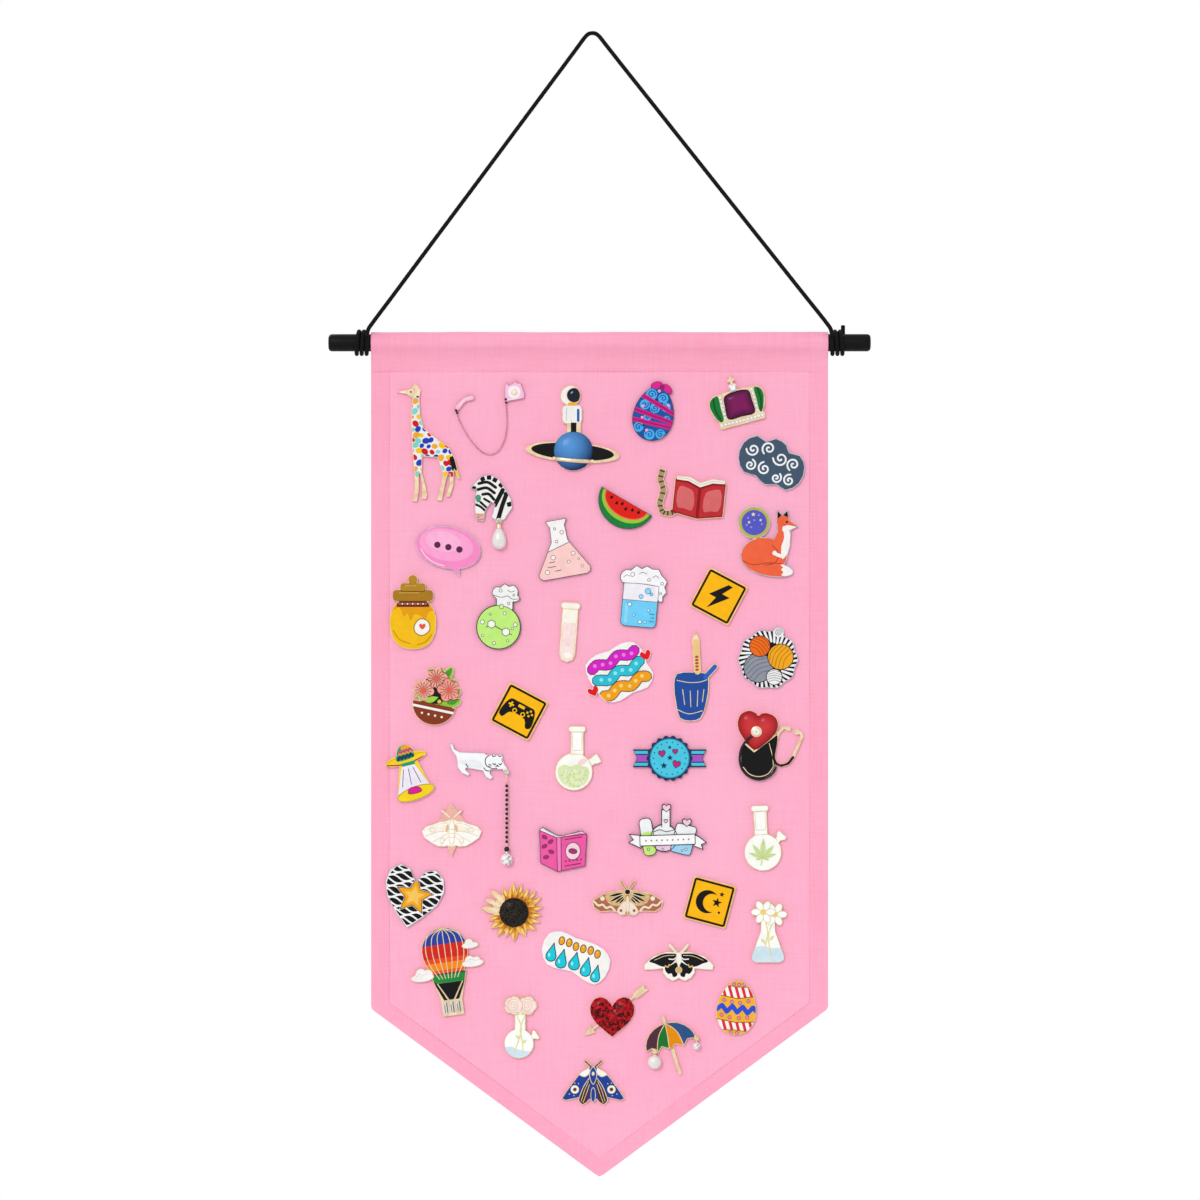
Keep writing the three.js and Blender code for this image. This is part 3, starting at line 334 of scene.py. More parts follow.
def lined(fill, edge, width, *shapes):
    """Coloured shapes with a drawn edge, as two layers."""
    return [(fill, *shapes), (edge, *edges(width, *shapes))]


def ringed(edge, fill, width, *rings):
    """Bubbles with a drawn edge, as (right, up, radius), in two layers."""
    return [(edge, *[disc(u, v, radius, 18) for u, v, radius in rings]),
            (fill, *[disc(u, v, radius - width, 18) for u, v, radius in rings])]


# Materials, in metres

WARP_PITCH = 0.00062
WEFT_PITCH = 0.00056


def linear(code):
    """The linear colour of a code such as #f4a7c3."""
    parts = [int(code[i:i + 2], 16) / 255 for i in (1, 3, 5)]
    return [c / 12.92 if c <= 0.04045 else ((c + 0.055) / 1.055) ** 2.4 for c in parts]


def graded(light, dark, share):
    """A colour between two, nearer the second as the share grows."""
    return [a + (b - a) * share for a, b in zip(linear(light), linear(dark))]


def node(mat, kind, inputs=None, **settings):
    made = mat.node_tree.nodes.new("ShaderNode" + kind)
    for key, value in settings.items():
        setattr(made, key, value)
    for key, value in (inputs or {}).items():
        if isinstance(value, bpy.types.NodeSocket):
            mat.node_tree.links.new(value, made.inputs[key])
        else:
            made.inputs[key].default_value = value
    return made


def reckon(mat, operation, *values):
    return node(mat, "Math", dict(enumerate(values)), operation=operation).outputs[0]


def material(name, color, roughness, sockets=None):
    mat = bpy.data.materials.new(name)
    mat.use_nodes = True
    shader = mat.node_tree.nodes["Principled BSDF"]
    shader.inputs["Base Color"].default_value = (*linear(color), 1)
    shader.inputs["Roughness"].default_value = roughness
    for key, value in (sockets or {}).items():
        shader.inputs[key].default_value = value
    return mat


def feed(mat, socket, output):
    mat.node_tree.links.new(output, mat.node_tree.nodes["Principled BSDF"].inputs[socket])


def noise(mat, scale, stretch=(1, 1, 1), detail=4):
    """Noise that stays with the piece, with its scale in turns to the metre."""
    spot = node(mat, "TexCoord").outputs["Object"]
    spot = node(mat, "Mapping", {"Vector": spot, "Scale": stretch}).outputs[0]
    return node(mat, "TexNoise", {"Vector": spot, "Scale": scale, "Detail": detail}).outputs[0]


def spread(mat, value, low, high, start=0.3, end=0.7):
    inputs = {"Value": value, "From Min": start, "From Max": end, "To Min": low, "To Max": high}
    return node(mat, "MapRange", inputs).outputs[0]


def blend_of(mat, factor, *colors):
    """A blend of two colours, each a code or a socket."""
    first, second = [(*linear(color), 1) if isinstance(color, str) else color for color in colors]
    return node(mat, "Mix", {0: factor, 6: first, 7: second}, data_type="RGBA").outputs[2]


def bump(mat, height, strength, distance):
    inputs = {"Height": height, "Strength": strength, "Distance": distance}
    feed(mat, "Normal", node(mat, "Bump", inputs).outputs[0])


def uneven(mat, scale, colors, gloss, depth, stretch=(1, 1, 1)):
    """Colour, gloss and surface that vary with one noise."""
    value = noise(mat, scale, stretch)
    feed(mat, "Base Color", blend_of(mat, spread(mat, value, 0, 1), *colors))
    feed(mat, "Roughness", spread(mat, value, *gloss))
    bump(mat, value, 0.4, depth)
    return mat


def tinted(name, roughness, sockets, scale, gloss):
    """A finish whose colour is each face's own, with faint unevenness."""
    mat = material(name, "#ffffff", roughness, sockets)
    tint = node(mat, "Attribute", attribute_name="tint").outputs["Color"]
    value = noise(mat, scale)
    shade = spread(mat, value, 0.93, 1.03)
    color = node(mat, "VectorMath", {0: tint, "Scale": shade}, operation="SCALE").outputs[0]
    feed(mat, "Base Color", color)
    feed(mat, "Roughness", spread(mat, value, *gloss))
    bump(mat, value, 0.25, 0.00006)
    return mat


def painted_doubled_shade(mat, across, up):
    """How much painted shade the cloth gets where it is doubled, at the rod pocket and the hems, as less
    light comes through two layers.
    """
    out = reckon(mat, "ABSOLUTE", reckon(mat, "SUBTRACT", across, CENTRE_X * MM))
    rise = reckon(mat, "MULTIPLY_ADD", out, (TIP_Z - CORNER_Z) / CLOTH_HALF, up)
    sides = spread(mat, out, 0, 1, (CLOTH_HALF - 12.4) * MM, (CLOTH_HALF - 11.8) * MM)
    point = spread(mat, rise, 1, 0, (TIP_Z + 12.2) * MM, (TIP_Z + 13) * MM)
    pocket = spread(mat, up, 0, 1, (PANEL_TOP - 0.3) * MM, (PANEL_TOP + 0.3) * MM)
    return reckon(mat, "MAXIMUM", pocket, reckon(mat, "MAXIMUM", sides, point))


def canvas_material():
    """Plain-woven canvas: two crossing threads, with thicker and thinner stretches of yarn, and painted shade
    where the cloth is doubled.
    """
    mat = material("canvas", "#fdaac7", 0.92, {"Sheen Weight": 0.1, "Specular IOR Level": 0.15})
    spot = node(mat, "TexCoord").outputs["Object"]
    across, _, up = node(mat, "SeparateXYZ", {0: spot}).outputs
    waves = []
    for value, pitch in ((across, WARP_PITCH), (up, WEFT_PITCH)):
        waves.append(reckon(mat, "SINE", reckon(mat, "MULTIPLY", value, 2 * math.pi / pitch)))
    weave = reckon(mat, "MULTIPLY", *waves)
    warp = noise(mat, 60, (12, 1, 0.7), 3)
    weft = noise(mat, 60, (0.7, 1, 12), 3)
    threads = reckon(mat, "ADD", warp, weft)
    cloudy = noise(mat, 9, detail=2)
    shade = spread(mat, reckon(mat, "ADD", threads, cloudy), 0, 1, 1.2, 1.8)
    # The doubled cloth's darker pair is painted shade, for the light that comes through less there
    lighter_single_layer = blend_of(mat, shade, "#ffacc9", "#ffb6d0")
    shaded_double_layer = blend_of(mat, shade, "#fea5c2", "#ffafca")
    feed(mat, "Base Color", blend_of(mat, painted_doubled_shade(mat, across, up), lighter_single_layer, shaded_double_layer))
    bump(mat, reckon(mat, "MULTIPLY_ADD", weave, 0.35, threads), 0.5, 0.00016)
    return mat


def glitter_material(name, dark, bright, scale):
    """Flakes, each of its own shade and gloss."""
    gloss = {"Specular IOR Level": 0.08, "Coat Weight": 0.1, "Coat Roughness": 0.08}
    mat = material(name, bright, 0.16, gloss)
    spot = node(mat, "TexCoord").outputs["Object"]
    cells = node(mat, "TexVoronoi", {"Vector": spot, "Scale": scale})
    value = node(mat, "SeparateColor", {0: cells.outputs["Color"]}).outputs[0]
    feed(mat, "Base Color", blend_of(mat, spread(mat, value, 0, 1, 0.15, 0.9), dark, bright))
    feed(mat, "Roughness", spread(mat, value, 0.08, 0.35, 0, 1))
    bump(mat, cells.outputs["Distance"], 0.6, 0.0005)
    return mat


DULL = {"Specular IOR Level": 0.1}
METAL = {"Metallic": 1}
GLOSSY = {"Specular IOR Level": 0.1, "Coat Weight": 0.06, "Coat Roughness": 0.06}
MATERIALS = {
    "canvas": canvas_material(),
    "thread": uneven(material("thread", "#e394b1", 0.8), 900, ("#d98aa8", "#eb9dba"), (0.7, 0.9), 0.0001),
    "wood": uneven(material("black_wood", "#0c0c0d", 0.5, DULL), 120,
                   ("#070708", "#121112"), (0.34, 0.58), 0.0002, (0.06, 1, 1)),
    "cord": uneven(material("cord", "#0a0a0a", 0.85, {"Specular IOR Level": 0.15}), 900,
                   ("#050505", "#121113"), (0.7, 0.95), 0.0001),
    "gold": uneven(material("gold", "#e2c88f", 0.3, METAL), 260,
                   ("#dcc093", "#eddbb9"), (0.22, 0.36), 0.00008),
    "silver": uneven(material("silver", "#b9bcc2", 0.3, METAL), 260,
                     ("#a9acb3", "#cfd2d7"), (0.22, 0.38), 0.00008),
    "rose": uneven(material("rose_metal", "#c88f9f", 0.34, METAL), 260,
                   ("#bb8294", "#d8a1b0"), (0.26, 0.42), 0.00008),
    "black": uneven(material("black_metal", "#26252a", 0.38, {"Metallic": 0.7}), 260,
                    ("#19181c", "#34333a"), (0.26, 0.45), 0.00008),
    "white": uneven(material("white_enamel", "#f4f4f4", 0.2, GLOSSY), 200,
                    ("#eeeeee", "#f9f9f8"), (0.14, 0.26), 0.00005),
    "brass": uneven(material("brass", "#c9a257", 0.32, METAL), 300,
                    ("#b68d45", "#dbb970"), (0.24, 0.42), 0.0001),
    "enamel": tinted("enamel", 0.2, GLOSSY, 210, (0.14, 0.28)),
    "crystal": tinted("crystal", 0.08, {"Coat Weight": 1, "Coat Roughness": 0.02}, 400, (0.04, 0.12)),
    "pearl": uneven(material("pearl", "#e9e6e0", 0.18, {"Coat Weight": 0.9, "Coat Roughness": 0.1}), 150,
                    ("#dcdad6", "#f3efea"), (0.14, 0.24), 0.00004),
    "bead": uneven(material("bead", "#0c0b0d", 0.2, {"Specular IOR Level": 0.2, "Coat Weight": 0.25}), 500,
                   ("#080709", "#161518"), (0.1, 0.24), 0.00004),
    "glitter": glitter_material("red_glitter", "#3e0107", "#cc101b", 620),
    "seeds": glitter_material("black_glitter", "#0b0a0a", "#3b342c", 1500),
}


# Building. The first layer of enamel stands out by ENAMEL_RISE, and each one over it by LAYER_RISE more

ENAMEL_RISE = 0.22
LAYER_RISE = 0.035
TUBE_END_SHARE = 0.55


def build(name, body, slot, verts, faces, mats, tints=None, kinds=None, smooth=False):
    """A piece from points in mm, riding on a body, with a colour and a material for each face."""
    mesh = bpy.data.meshes.new(name)
    mesh.from_pydata([Vector(vert) * MM for vert in verts], [], faces)
    for mat in mats:
        mesh.materials.append(MATERIALS[mat])
    if kinds:
        mesh.polygons.foreach_set("material_index", kinds)
    if tints:
        colors = [c for face, tint in zip(faces, tints) for _ in face for c in (*tint, 1)]
        mesh.color_attributes.new("tint", "FLOAT_COLOR", "CORNER").data.foreach_set("color", colors)
    if smooth:
        mesh.shade_smooth()
    mesh.update()
    piece = bpy.data.objects.new(name, mesh)
    scene.collection.objects.link(piece)
    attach(piece, body)
    return piece


def gather(meshes):
    """Several meshes as one."""
    verts = []
    faces = []
    for more_verts, more_faces in meshes:
        faces.extend(tuple(i + len(verts) for i in face) for face in more_faces)
        verts.extend(more_verts)
    return verts, faces


def grid(rows, sides, closed=True):
    """Faces between rows of points. In closed rows the last point joins the first."""
    faces = []
    for i in range(rows - 1):
        for k in range(sides if closed else sides - 1):
            n = (k + 1) % sides
            faces.append((i * sides + k, i * sides + n, (i + 1) * sides + n, (i + 1) * sides + k))
    return faces


def turned_over(faces):
    return [(a, d, c, b) for a, b, c, d in faces]


def skin(rings, sides):
    """Faces of a closed form made of rings, with both its ends."""
    first = tuple(reversed(range(sides)))
    last = tuple((rings - 1) * sides + k for k in range(sides))
    return [*grid(rings, sides), first, last]


def tube_mesh(points, reach, sides):
    """A closed tube along the points, with round ends. Its radius may vary along and round it."""
    points = [Vector(point) for point in points]
    along = [(b - a).normalized() for a, b in zip(points, points[1:])]
    along.append(along[-1])
    side = along[0].orthogonal().normalized()
    verts = []
    run = 0
    last = len(points) - 1
    for i, point in enumerate(points):
        side = (side - along[i] * side.dot(along[i])).normalized()
        up = along[i].cross(side)
        run += (point - points[max(i - 1, 0)]).length
        for k in range(sides):
            turn = 2 * math.pi * k / sides
            radius = reach(run, turn) * (TUBE_END_SHARE if i in (0, last) else 1)
            verts.append(point + radius * (math.cos(turn) * side + math.sin(turn) * up))
    return verts, skin(len(points), sides)


def wire(points, radius, sides=8):
    return tube_mesh(points, lambda run, turn: radius, sides)


def lathe(profile, sides, middle, axis="Z", squash=(1, 1)):
    """A turned form. The profile is (radius, height), and squash scales its front and its back."""
    verts = []
    for radius, height in profile:
        for k in range(sides):
            turn = 2 * math.pi * k / sides
            first = radius * math.cos(turn)
            second = radius * math.sin(turn)
            if axis == "Z":
                offset = (first, second * (squash[0] if second < 0 else squash[1]), height)
            else:
                offset = (first, height, -second)
            verts.append(Vector(middle) + Vector(offset))
    return verts, skin(len(profile), sides)


def body_of(pin):
    return "telephone" if pin in ("handset", "phone") else pin


def place(pin):
    """From a pin's own (right, up, out) to the frame."""
    right, below, turn = PINS[pin]
    cos = math.cos(math.radians(turn))
    sin = math.sin(math.radians(turn))

    def put(u, v, out):
        x = CENTRE_X + right + u * cos - v * sin
        z = PANEL_TOP - below + u * sin + v * cos
        return Vector((x, PLATE_FRONT - out, z))
    return put


def pairs(loop):
    """Each item of a loop with the one after it."""
    return list(zip(loop, [*loop[1:], loop[0]]))


def area(shape):
    return sum(a[0] * b[1] - b[0] * a[1] for a, b in pairs(shape)) / 2


def covers(shape, points):
    """Which of the points lie inside a shape."""
    inside = np.zeros(len(points), bool)
    for (au, av), (bu, bv) in pairs(shape):
        if av != bv:
            level = (points[:, 1] < av) != (points[:, 1] < bv)
            inside ^= level & (points[:, 0] < au + (points[:, 1] - av) * (bu - au) / (bv - av))
    return inside


def plate_outline(pin):
    """The front edge of a pin's plate, in the pin's own mm."""
    right, below, turn = PINS[pin]
    mesh = nodes[pin + "_pin"].data
    keys = []
    for vert in mesh.vertices:
        x, y, z = vert.co / MM
        point = shifted([(x - CENTRE_X - right, z - PANEL_TOP + below)], degrees=-turn)[0]
        keys.append((round(point[0], 3), round(point[1], 3)) if abs(y - PLATE_FRONT) < 0.02 else None)
    follow = {}
    for face in mesh.polygons:
        loop = [keys[i] for i in face.vertices]
        if None in loop or face.normal.y > -0.9:
            continue
        for a, b in pairs(loop):
            if follow.get(b) and a in follow[b]:
                follow[b].remove(a)
            else:
                follow.setdefault(a, []).append(b)
    loops = []
    for start in list(follow):
        while follow[start]:
            loop = [start]
            here = follow[start].pop()
            while here != start:
                loop.append(here)
                here = follow[here].pop()
            loops.append(loop)
    return max(loops, key=area)


def painted(outline, layers, rim):
    """The plate's front as points and triangles, each triangle with the number of the layer on top there."""
    shapes = [(0, outline)]
    for level, (_, *outlines) in enumerate(layers, 1):
        shapes.extend((level, outline if shape is PLATE else shape) for shape in outlines)
    shapes.extend((-1, shape) for shape in line(outline, 2 * rim, closed=True))
    points = []
    joins = []
    for _, shape in shapes:
        first = len(points)
        points.extend(Vector((u, v)) for u, v in shape)
        joins.extend((first + i, first + (i + 1) % len(shape)) for i in range(len(shape)))
    found, _, triangles, _, _, _ = delaunay_2d_cdt(points, joins, [], 0, 1e-4)
    middles = np.array([[found[i] for i in triangle] for triangle in triangles]).mean(axis=1)
    tops = np.zeros(len(triangles), int)
    for level, shape in shapes:
        if level > 0:
            tops[covers(shape, middles)] = level
    for level, shape in shapes:
        if level < 0:
            tops[covers(shape, middles)] = 0
    tops[~covers(outline, middles)] = 0
    kept = []
    for triangle, level in zip(triangles, tops.tolist()):
        if level and layers[level - 1][0] != BARE:
            kept.append((triangle, level))
    return found, kept


def enamel_height(level):
    """How far a layer of enamel stands out from the plate, which is level 0."""
    return ENAMEL_RISE + LAYER_RISE * level if level else 0


def badge(pin, layers, rim=0.45):
    """A pin's enamel: layers of (paint, outline, ...), each over the last, inside the plate's metal edge."""
    found, kept = painted(plate_outline(pin), layers, rim)
    beside = {}
    for triangle, level in kept:
        for side in pairs(triangle):
            beside[side] = level
    put = place(pin)
    index = {}
    verts = []

    def corner(i, out):
        if (i, out) not in index:
            index[i, out] = len(verts)
            verts.append(put(*found[i], out))
        return index[i, out]

    faces = []
    paints = []
    for triangle, level in kept:
        paint = layers[level - 1][0]
        top = enamel_height(level)
        faces.append(tuple(corner(i, top) for i in triangle))
        paints.append(paint)
        for a, b in pairs(triangle):
            other = beside.get((b, a), 0)
            if other < level:
                foot = enamel_height(other)
                faces.append((corner(a, foot), corner(b, foot), corner(b, top), corner(a, top)))
                paints.append(paint)
    mats = ["enamel", *sorted({paint for paint in paints if paint[0] != "#"})]
    kinds = [0 if paint[0] == "#" else mats.index(paint) for paint in paints]
    tints = [linear(paint) if paint[0] == "#" else (1, 1, 1) for paint in paints]
    build(pin + "_art", body_of(pin), "white_enamel", verts, faces, mats, tints, kinds)


def dome(name, pin, radius, rise, paint):
    """A low dome that covers the plate's own. A pair of paints goes from a painted highlight up and to the
    left of its middle to painted shade at its edge.
    """
    put = place(pin)
    rings = 20
    sides = 40
    verts = []
    for i in range(rings + 1):
        tilt = math.pi / 2 * i / rings
        out = (rise + 0.75) * math.sin(tilt) - 0.6
        reach = (radius + 0.15) * math.cos(tilt)
        for k in range(sides):
            turn = 2 * math.pi * k / sides
            verts.append(put(reach * math.cos(turn), reach * math.sin(turn), out))
    faces = grid(rings + 1, sides)
    if isinstance(paint, str):
        build(name, body_of(pin), "white_enamel", verts, faces, [paint], smooth=True)
        return
    tints = []
    for i in range(rings):
        reach = math.cos(math.pi / 2 * (i + 0.5) / rings)
        for k in range(sides):
            turn = 2 * math.pi * (k + 0.5) / sides
            painted_highlight_distance = math.hypot(reach * math.cos(turn) + 0.25, reach * math.sin(turn) - 0.3)
            tints.append(graded(*paint, min((painted_highlight_distance / 1.3) ** 1.5, 1)))
    build(name, body_of(pin), "white_enamel", verts, faces, ["enamel"], tints, smooth=True)


def puff(name, pin, outline, rise, reach, paint, pitch=1.1):
    """A form that swells from its outline. A pair of paints goes from a painted highlight at its crown to
    painted shade at its edge.
    """
    outline = [Vector(point) for point in outline]
    stretches = pairs(outline)

    def depth(point):
        best = reach
        for a, b in stretches:
            t = (point - a).dot(b - a) / max((b - a).length_squared, 1e-9)
            best = min(best, (point - a.lerp(b, min(max(t, 0), 1))).length)
        return best

    us = [point.x for point in outline]
    vs = [point.y for point in outline]
    spots = []
    for i in range(int((max(us) - min(us)) / pitch) + 1):
        for k in range(int((max(vs) - min(vs)) / pitch) + 1):
            spots.append(Vector((min(us) + pitch * (i + 0.5 * (k % 2)), min(vs) + pitch * k)))
    points = list(outline)
    for spot, held in zip(spots, covers(outline, np.array(spots))):
        if held and depth(spot) > 0.5 * pitch:
            points.append(spot)
    loop = list(range(len(outline)))
    if area(outline) < 0:
        loop.reverse()
    found, _, triangles, _, _, _ = delaunay_2d_cdt(points, [], [loop], 1, 1e-4)
    put = place(pin)
    verts = []
    for point in found:
        part = 1 - min(depth(point) / reach, 1)
        verts.append(put(point.x, point.y, 0.1 + rise * math.sqrt(max(1 - part * part, 0))))
    if isinstance(paint, str):
        build(name, body_of(pin), "white_enamel", verts, triangles, [paint], smooth=True)
        return
    tints = []
    for triangle in triangles:
        middle = sum((found[i] for i in triangle), Vector((0, 0))) / 3
        tints.append(graded(*paint, (1 - depth(middle) / reach) ** 1.5))
    build(name, body_of(pin), "white_enamel", verts, triangles, ["enamel"], tints, smooth=True)


def gems(name, pin, stones, color="#ffffff"):
    """Cut stones as (right, up, radius), their facets painted lighter and darker in turn as painted
    reflections.
    """
    put = place(pin)
    painted_facet_light = (1, 0.62, 0.9, 0.42, 0.97, 0.72, 0.85, 0.5)
    base = linear(color)
    foot = 0.2
    sides = 8
    verts = []
    faces = []
    tints = []
    for stone, (u, v, radius) in enumerate(stones):
        start = len(verts)
        for share, out in ((1, foot - 0.1), (1, foot + 0.25 * radius), (0.58, foot + 0.62 * radius)):
            reach = share * radius
            for k in range(sides):
                turn = 2 * math.pi * (k + 0.5) / sides
                verts.append(put(u + reach * math.cos(turn), v + reach * math.sin(turn), out))
        for low in (start, start + sides):
            for k in range(sides):
                n = (k + 1) % sides
                faces.append((low + k, low + n, low + sides + n))
                faces.append((low + k, low + sides + n, low + sides + k))
                tints.append([c * painted_facet_light[(k + stone) % 8] for c in base])
                tints.append([c * painted_facet_light[(3 * k + stone + 2) % 8] for c in base])
        faces.append(tuple(start + 2 * sides + k for k in range(sides)))
        tints.append([c * 0.95 for c in base])
    build(name, body_of(pin), "crystal", verts, faces, ["crystal"], tints)


# Camera, light and floor

camera = bpy.data.objects.new("camera", bpy.data.cameras.new("camera"))
camera.location = (0.005, -3, -0.371)
camera.rotation_euler = (math.pi / 2, 0, 0)
camera.data.sensor_width = 36
camera.data.lens = 137.0
camera.data.clip_end = 50
scene.collection.objects.link(camera)
scene.camera = camera
scene.view_settings.view_transform = "Standard"


def sun(name, strength, tilt, turn, softness):
    lamp = bpy.data.lights.new(name, "SUN")
    lamp.energy = strength
    lamp.angle = math.radians(softness)
    held = bpy.data.objects.new(name, lamp)
    held.rotation_euler = (math.radians(tilt), 0, math.radians(turn))
    scene.collection.objects.link(held)


sun("key", 0.95, 64, -22, 20)
sun("back", 0.6, -60, 24, 30)

# The studio is brighter where it is seen than as a light
world = bpy.data.worlds.new("studio")
scene.world = world
world.use_nodes = True
background = world.node_tree.nodes["Background"]
background.inputs["Color"].default_value = (1, 1, 1, 1)
rays = node(world, "LightPath").outputs
seen = reckon(world, "MAXIMUM", rays["Is Camera Ray"], rays["Is Glossy Ray"])
seen = reckon(world, "MAXIMUM", seen, rays["Is Transmission Ray"])
strength = spread(world, seen, 0.72, 1, 0, 1)
world.node_tree.links.new(strength, background.inputs["Strength"])

FLOOR_HALF = 1.2
FLOOR_Z = -1.05
floor_corners = [(x * FLOOR_HALF, y * FLOOR_HALF, FLOOR_Z) for x, y in ((-1, -1), (1, -1), (1, 1), (-1, 1))]
floor_mesh = bpy.data.meshes.new("floor")
floor_mesh.from_pydata(floor_corners, [], [(0, 1, 2, 3)])
floor_mesh.materials.append(uneven(material("floor", "#fbfbfb", 0.8), 20, ("#fafafa", "#fcfcfc"),
                                   (0.7, 0.9), 0.0001))
floor = bpy.data.objects.new("floor", floor_mesh)
scene.collection.objects.link(floor)


# Cord

CORD_RADIUS = 1.4
CORD_PITCH = 0.45
BRAID_LENGTH = 5.2
WINDING_RADIUS = 7.4
WINDING_TURNS = 2.5
WINDING_LEAD = 3.25
WINDING_STEPS = 240


def braid(name, points):
    """A braided cord: strands that cross over and under each other."""
    def reach(run, turn):
        first = math.sin(4 * turn + 2 * math.pi * run / BRAID_LENGTH)
        second = math.sin(4 * turn - 2 * math.pi * run / BRAID_LENGTH)
        return CORD_RADIUS * (0.96 + 0.04 * max(first, second))
    return build(name, "hanger", "cord", *tube_mesh(points, reach, 20), ["cord"], smooth=True)


def winding_points(side, tail):
    """The cord's turns round one end of the dowel, beside the cloth, with a tail that stands up."""
    start = CLOTH_HALF + 0.8 + CORD_RADIUS
    points = []
    for i in range(WINDING_STEPS + 1):
        turns = WINDING_TURNS * i / WINDING_STEPS
        turn = 2 * math.pi * turns
        x = CENTRE_X + side * (start + WINDING_LEAD * turns)
        z = DOWEL_Z - WINDING_RADIUS * math.sin(turn)
        points.append(Vector((x, -WINDING_RADIUS * math.cos(turn), z)))
    first = points[0] + Vector((0, 0, 2 * CORD_RADIUS))
    last = points[-1] + Vector((0, 0, tail))
    return spaced([first, *points, last], CORD_PITCH)


cord_points = spaced(through(CORD_ROUTE, 24), CORD_PITCH)
cord = braid("hanging_braid", cord_points)
left_turns = braid("left_turns", winding_points(-1, 2.8))
right_turns = braid("right_turns", winding_points(1, 12))
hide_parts("hanging_cord")
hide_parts("left_winding")
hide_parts("right_winding")
cord_length = sum((b - a).length for a, b in zip(cord_points, cord_points[1:])) * MM


# Dowel

ROD_HALF = 178
ROD_RADIUS = 5.7
rod_end = [(0.4, -ROD_HALF), (3.7, -ROD_HALF), (4.6, 0.25 - ROD_HALF), (5.3, 0.9 - ROD_HALF),
           (ROD_RADIUS, 2 - ROD_HALF)]
rod = [*rod_end, *[(ROD_RADIUS, x) for x in range(-170, 171, 10)], *[(r, -x) for r, x in reversed(rod_end)]]
verts, faces = lathe(rod, 48, (0, 0, 0))
verts = [Vector((CENTRE_X + z, y, DOWEL_Z - x)) for x, y, z in verts]
dowel = build("dowel_rod", "hanger", "black_wood", verts, faces, ["wood"], smooth=True)
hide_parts("dowel")


# Cloth

# The stitching's distance from a side and from the lower edge, and the turned hem's width behind it
SIDE_SEAM = 12
LOWER_SEAM = 10
HEM_WIDTH = 12.5
SLOPE = math.hypot(CLOTH_HALF, CORNER_Z - TIP_Z) / CLOTH_HALF
HEM_STEPS = (0, 0.5, 1.2, 5, 8.4, 9.4, 10, 10.6, 11.3, 12, 12.7, 13.6, 18)
FRONT_STEPS = (0.06, 0.14, 0.24, 0.36, 0.5, 0.66, 0.84, 1)
POCKET_RADIUS = 6.62
STITCH_PITCH = 2.6
STITCH_LENGTH = 2.3


def bottom_edge(x):
    """The cloth's lower edge, with its point and corners rounded."""
    reach = math.hypot(x, 0.9)
    edge = TIP_Z + (CORNER_Z - TIP_Z) * min(reach, CLOTH_HALF) / CLOTH_HALF
    from_side = CLOTH_HALF - abs(x)
    if from_side < 1.5:
        edge += 1.6 * (1 - from_side / 1.5) ** 2
    return edge


def stations():
    """Columns across the cloth, close together along the hems."""
    side = [CLOTH_HALF - step for step in HEM_STEPS]
    inner = [side[-1] * i / 44 for i in range(44)]
    half = sorted({*side, *inner})
    return [*[-x for x in reversed(half) if x], *half]


def pulled(distance, depth=0.26):
    """How far a seam pulls the cloth in, at a distance from it."""
    return depth * math.exp(-(distance / 0.6) ** 2)


def groove(side, rise):
    """How far the hems' stitching pulls the cloth in, at distances from a side and from the lower edge."""
    if side - SIDE_SEAM < rise - LOWER_SEAM:
        return pulled(side - SIDE_SEAM) if rise > LOWER_SEAM else 0
    return pulled(rise - LOWER_SEAM) if side > SIDE_SEAM else 0


def ripple(x, z):
    """A faint unevenness of the hung cloth."""
    return 0.1 * math.sin(x / 31 + 1.3) * math.sin(z / 47) + 0.06 * math.sin(x / 13 + z / 19)


def panel_column(x):
    """One column of the cloth: from under the seam behind, over the dowel and down to the lower edge."""
    side = CLOTH_HALF - abs(x)
    column = [(0.55, PANEL_TOP - 8), (0.55, PANEL_TOP - 4), (0.55, PANEL_TOP), (0.6, DOWEL_Z - 18.9)]
    radius = POCKET_RADIUS + 0.12 * math.sin(x / 17) + 0.06 * math.sin(x / 5.3)
    behind = math.radians(20)
    before = math.radians(38)
    for i in range(25):
        turn = -behind + (math.pi + behind + before) * i / 24
        y = radius * math.cos(turn) + pulled(side - SIDE_SEAM) * max(-math.cos(turn), 0)
        column.append((y, DOWEL_Z + radius * math.sin(turn)))
    front_y, front_z = column[-1]
    for t in FRONT_STEPS:
        inward = 1 - (1 - t) ** 2.3
        column.append((front_y + inward * (-0.55 - front_y), front_z + t * (PANEL_TOP + 0.9 - front_z)))
    low = bottom_edge(x)
    seam = [PANEL_TOP + step for step in (0.4, 0, -0.4, -0.9, -1.6)]
    hem_rows = [low + step * SLOPE for step in HEM_STEPS]
    top = PANEL_TOP - 2.4
    upper = [top - (top - hem_rows[-1]) * i / 58 for i in range(58)]
    for z in [*seam, *upper, *reversed(hem_rows)]:
        dip = pulled(z - PANEL_TOP, 0.3)
        column.append((-0.5 + groove(side, (z - low) / SLOPE) + dip + ripple(x, z), z))
    return column


def thicken(piece, thickness):
    solid = piece.modifiers.new("thickness", "SOLIDIFY")
    solid.thickness = thickness
    solid.offset = 0


columns = stations()
verts = []
for x in columns:
    verts.extend((CENTRE_X + x, y, z) for y, z in panel_column(x))
faces = turned_over(grid(len(columns), len(verts) // len(columns), closed=False))
cloth = build("canvas_banner", "banner", "canvas", verts, faces, ["canvas"], smooth=True)
thicken(cloth, 0.0009)
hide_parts("banner_panel", "rod_pocket")


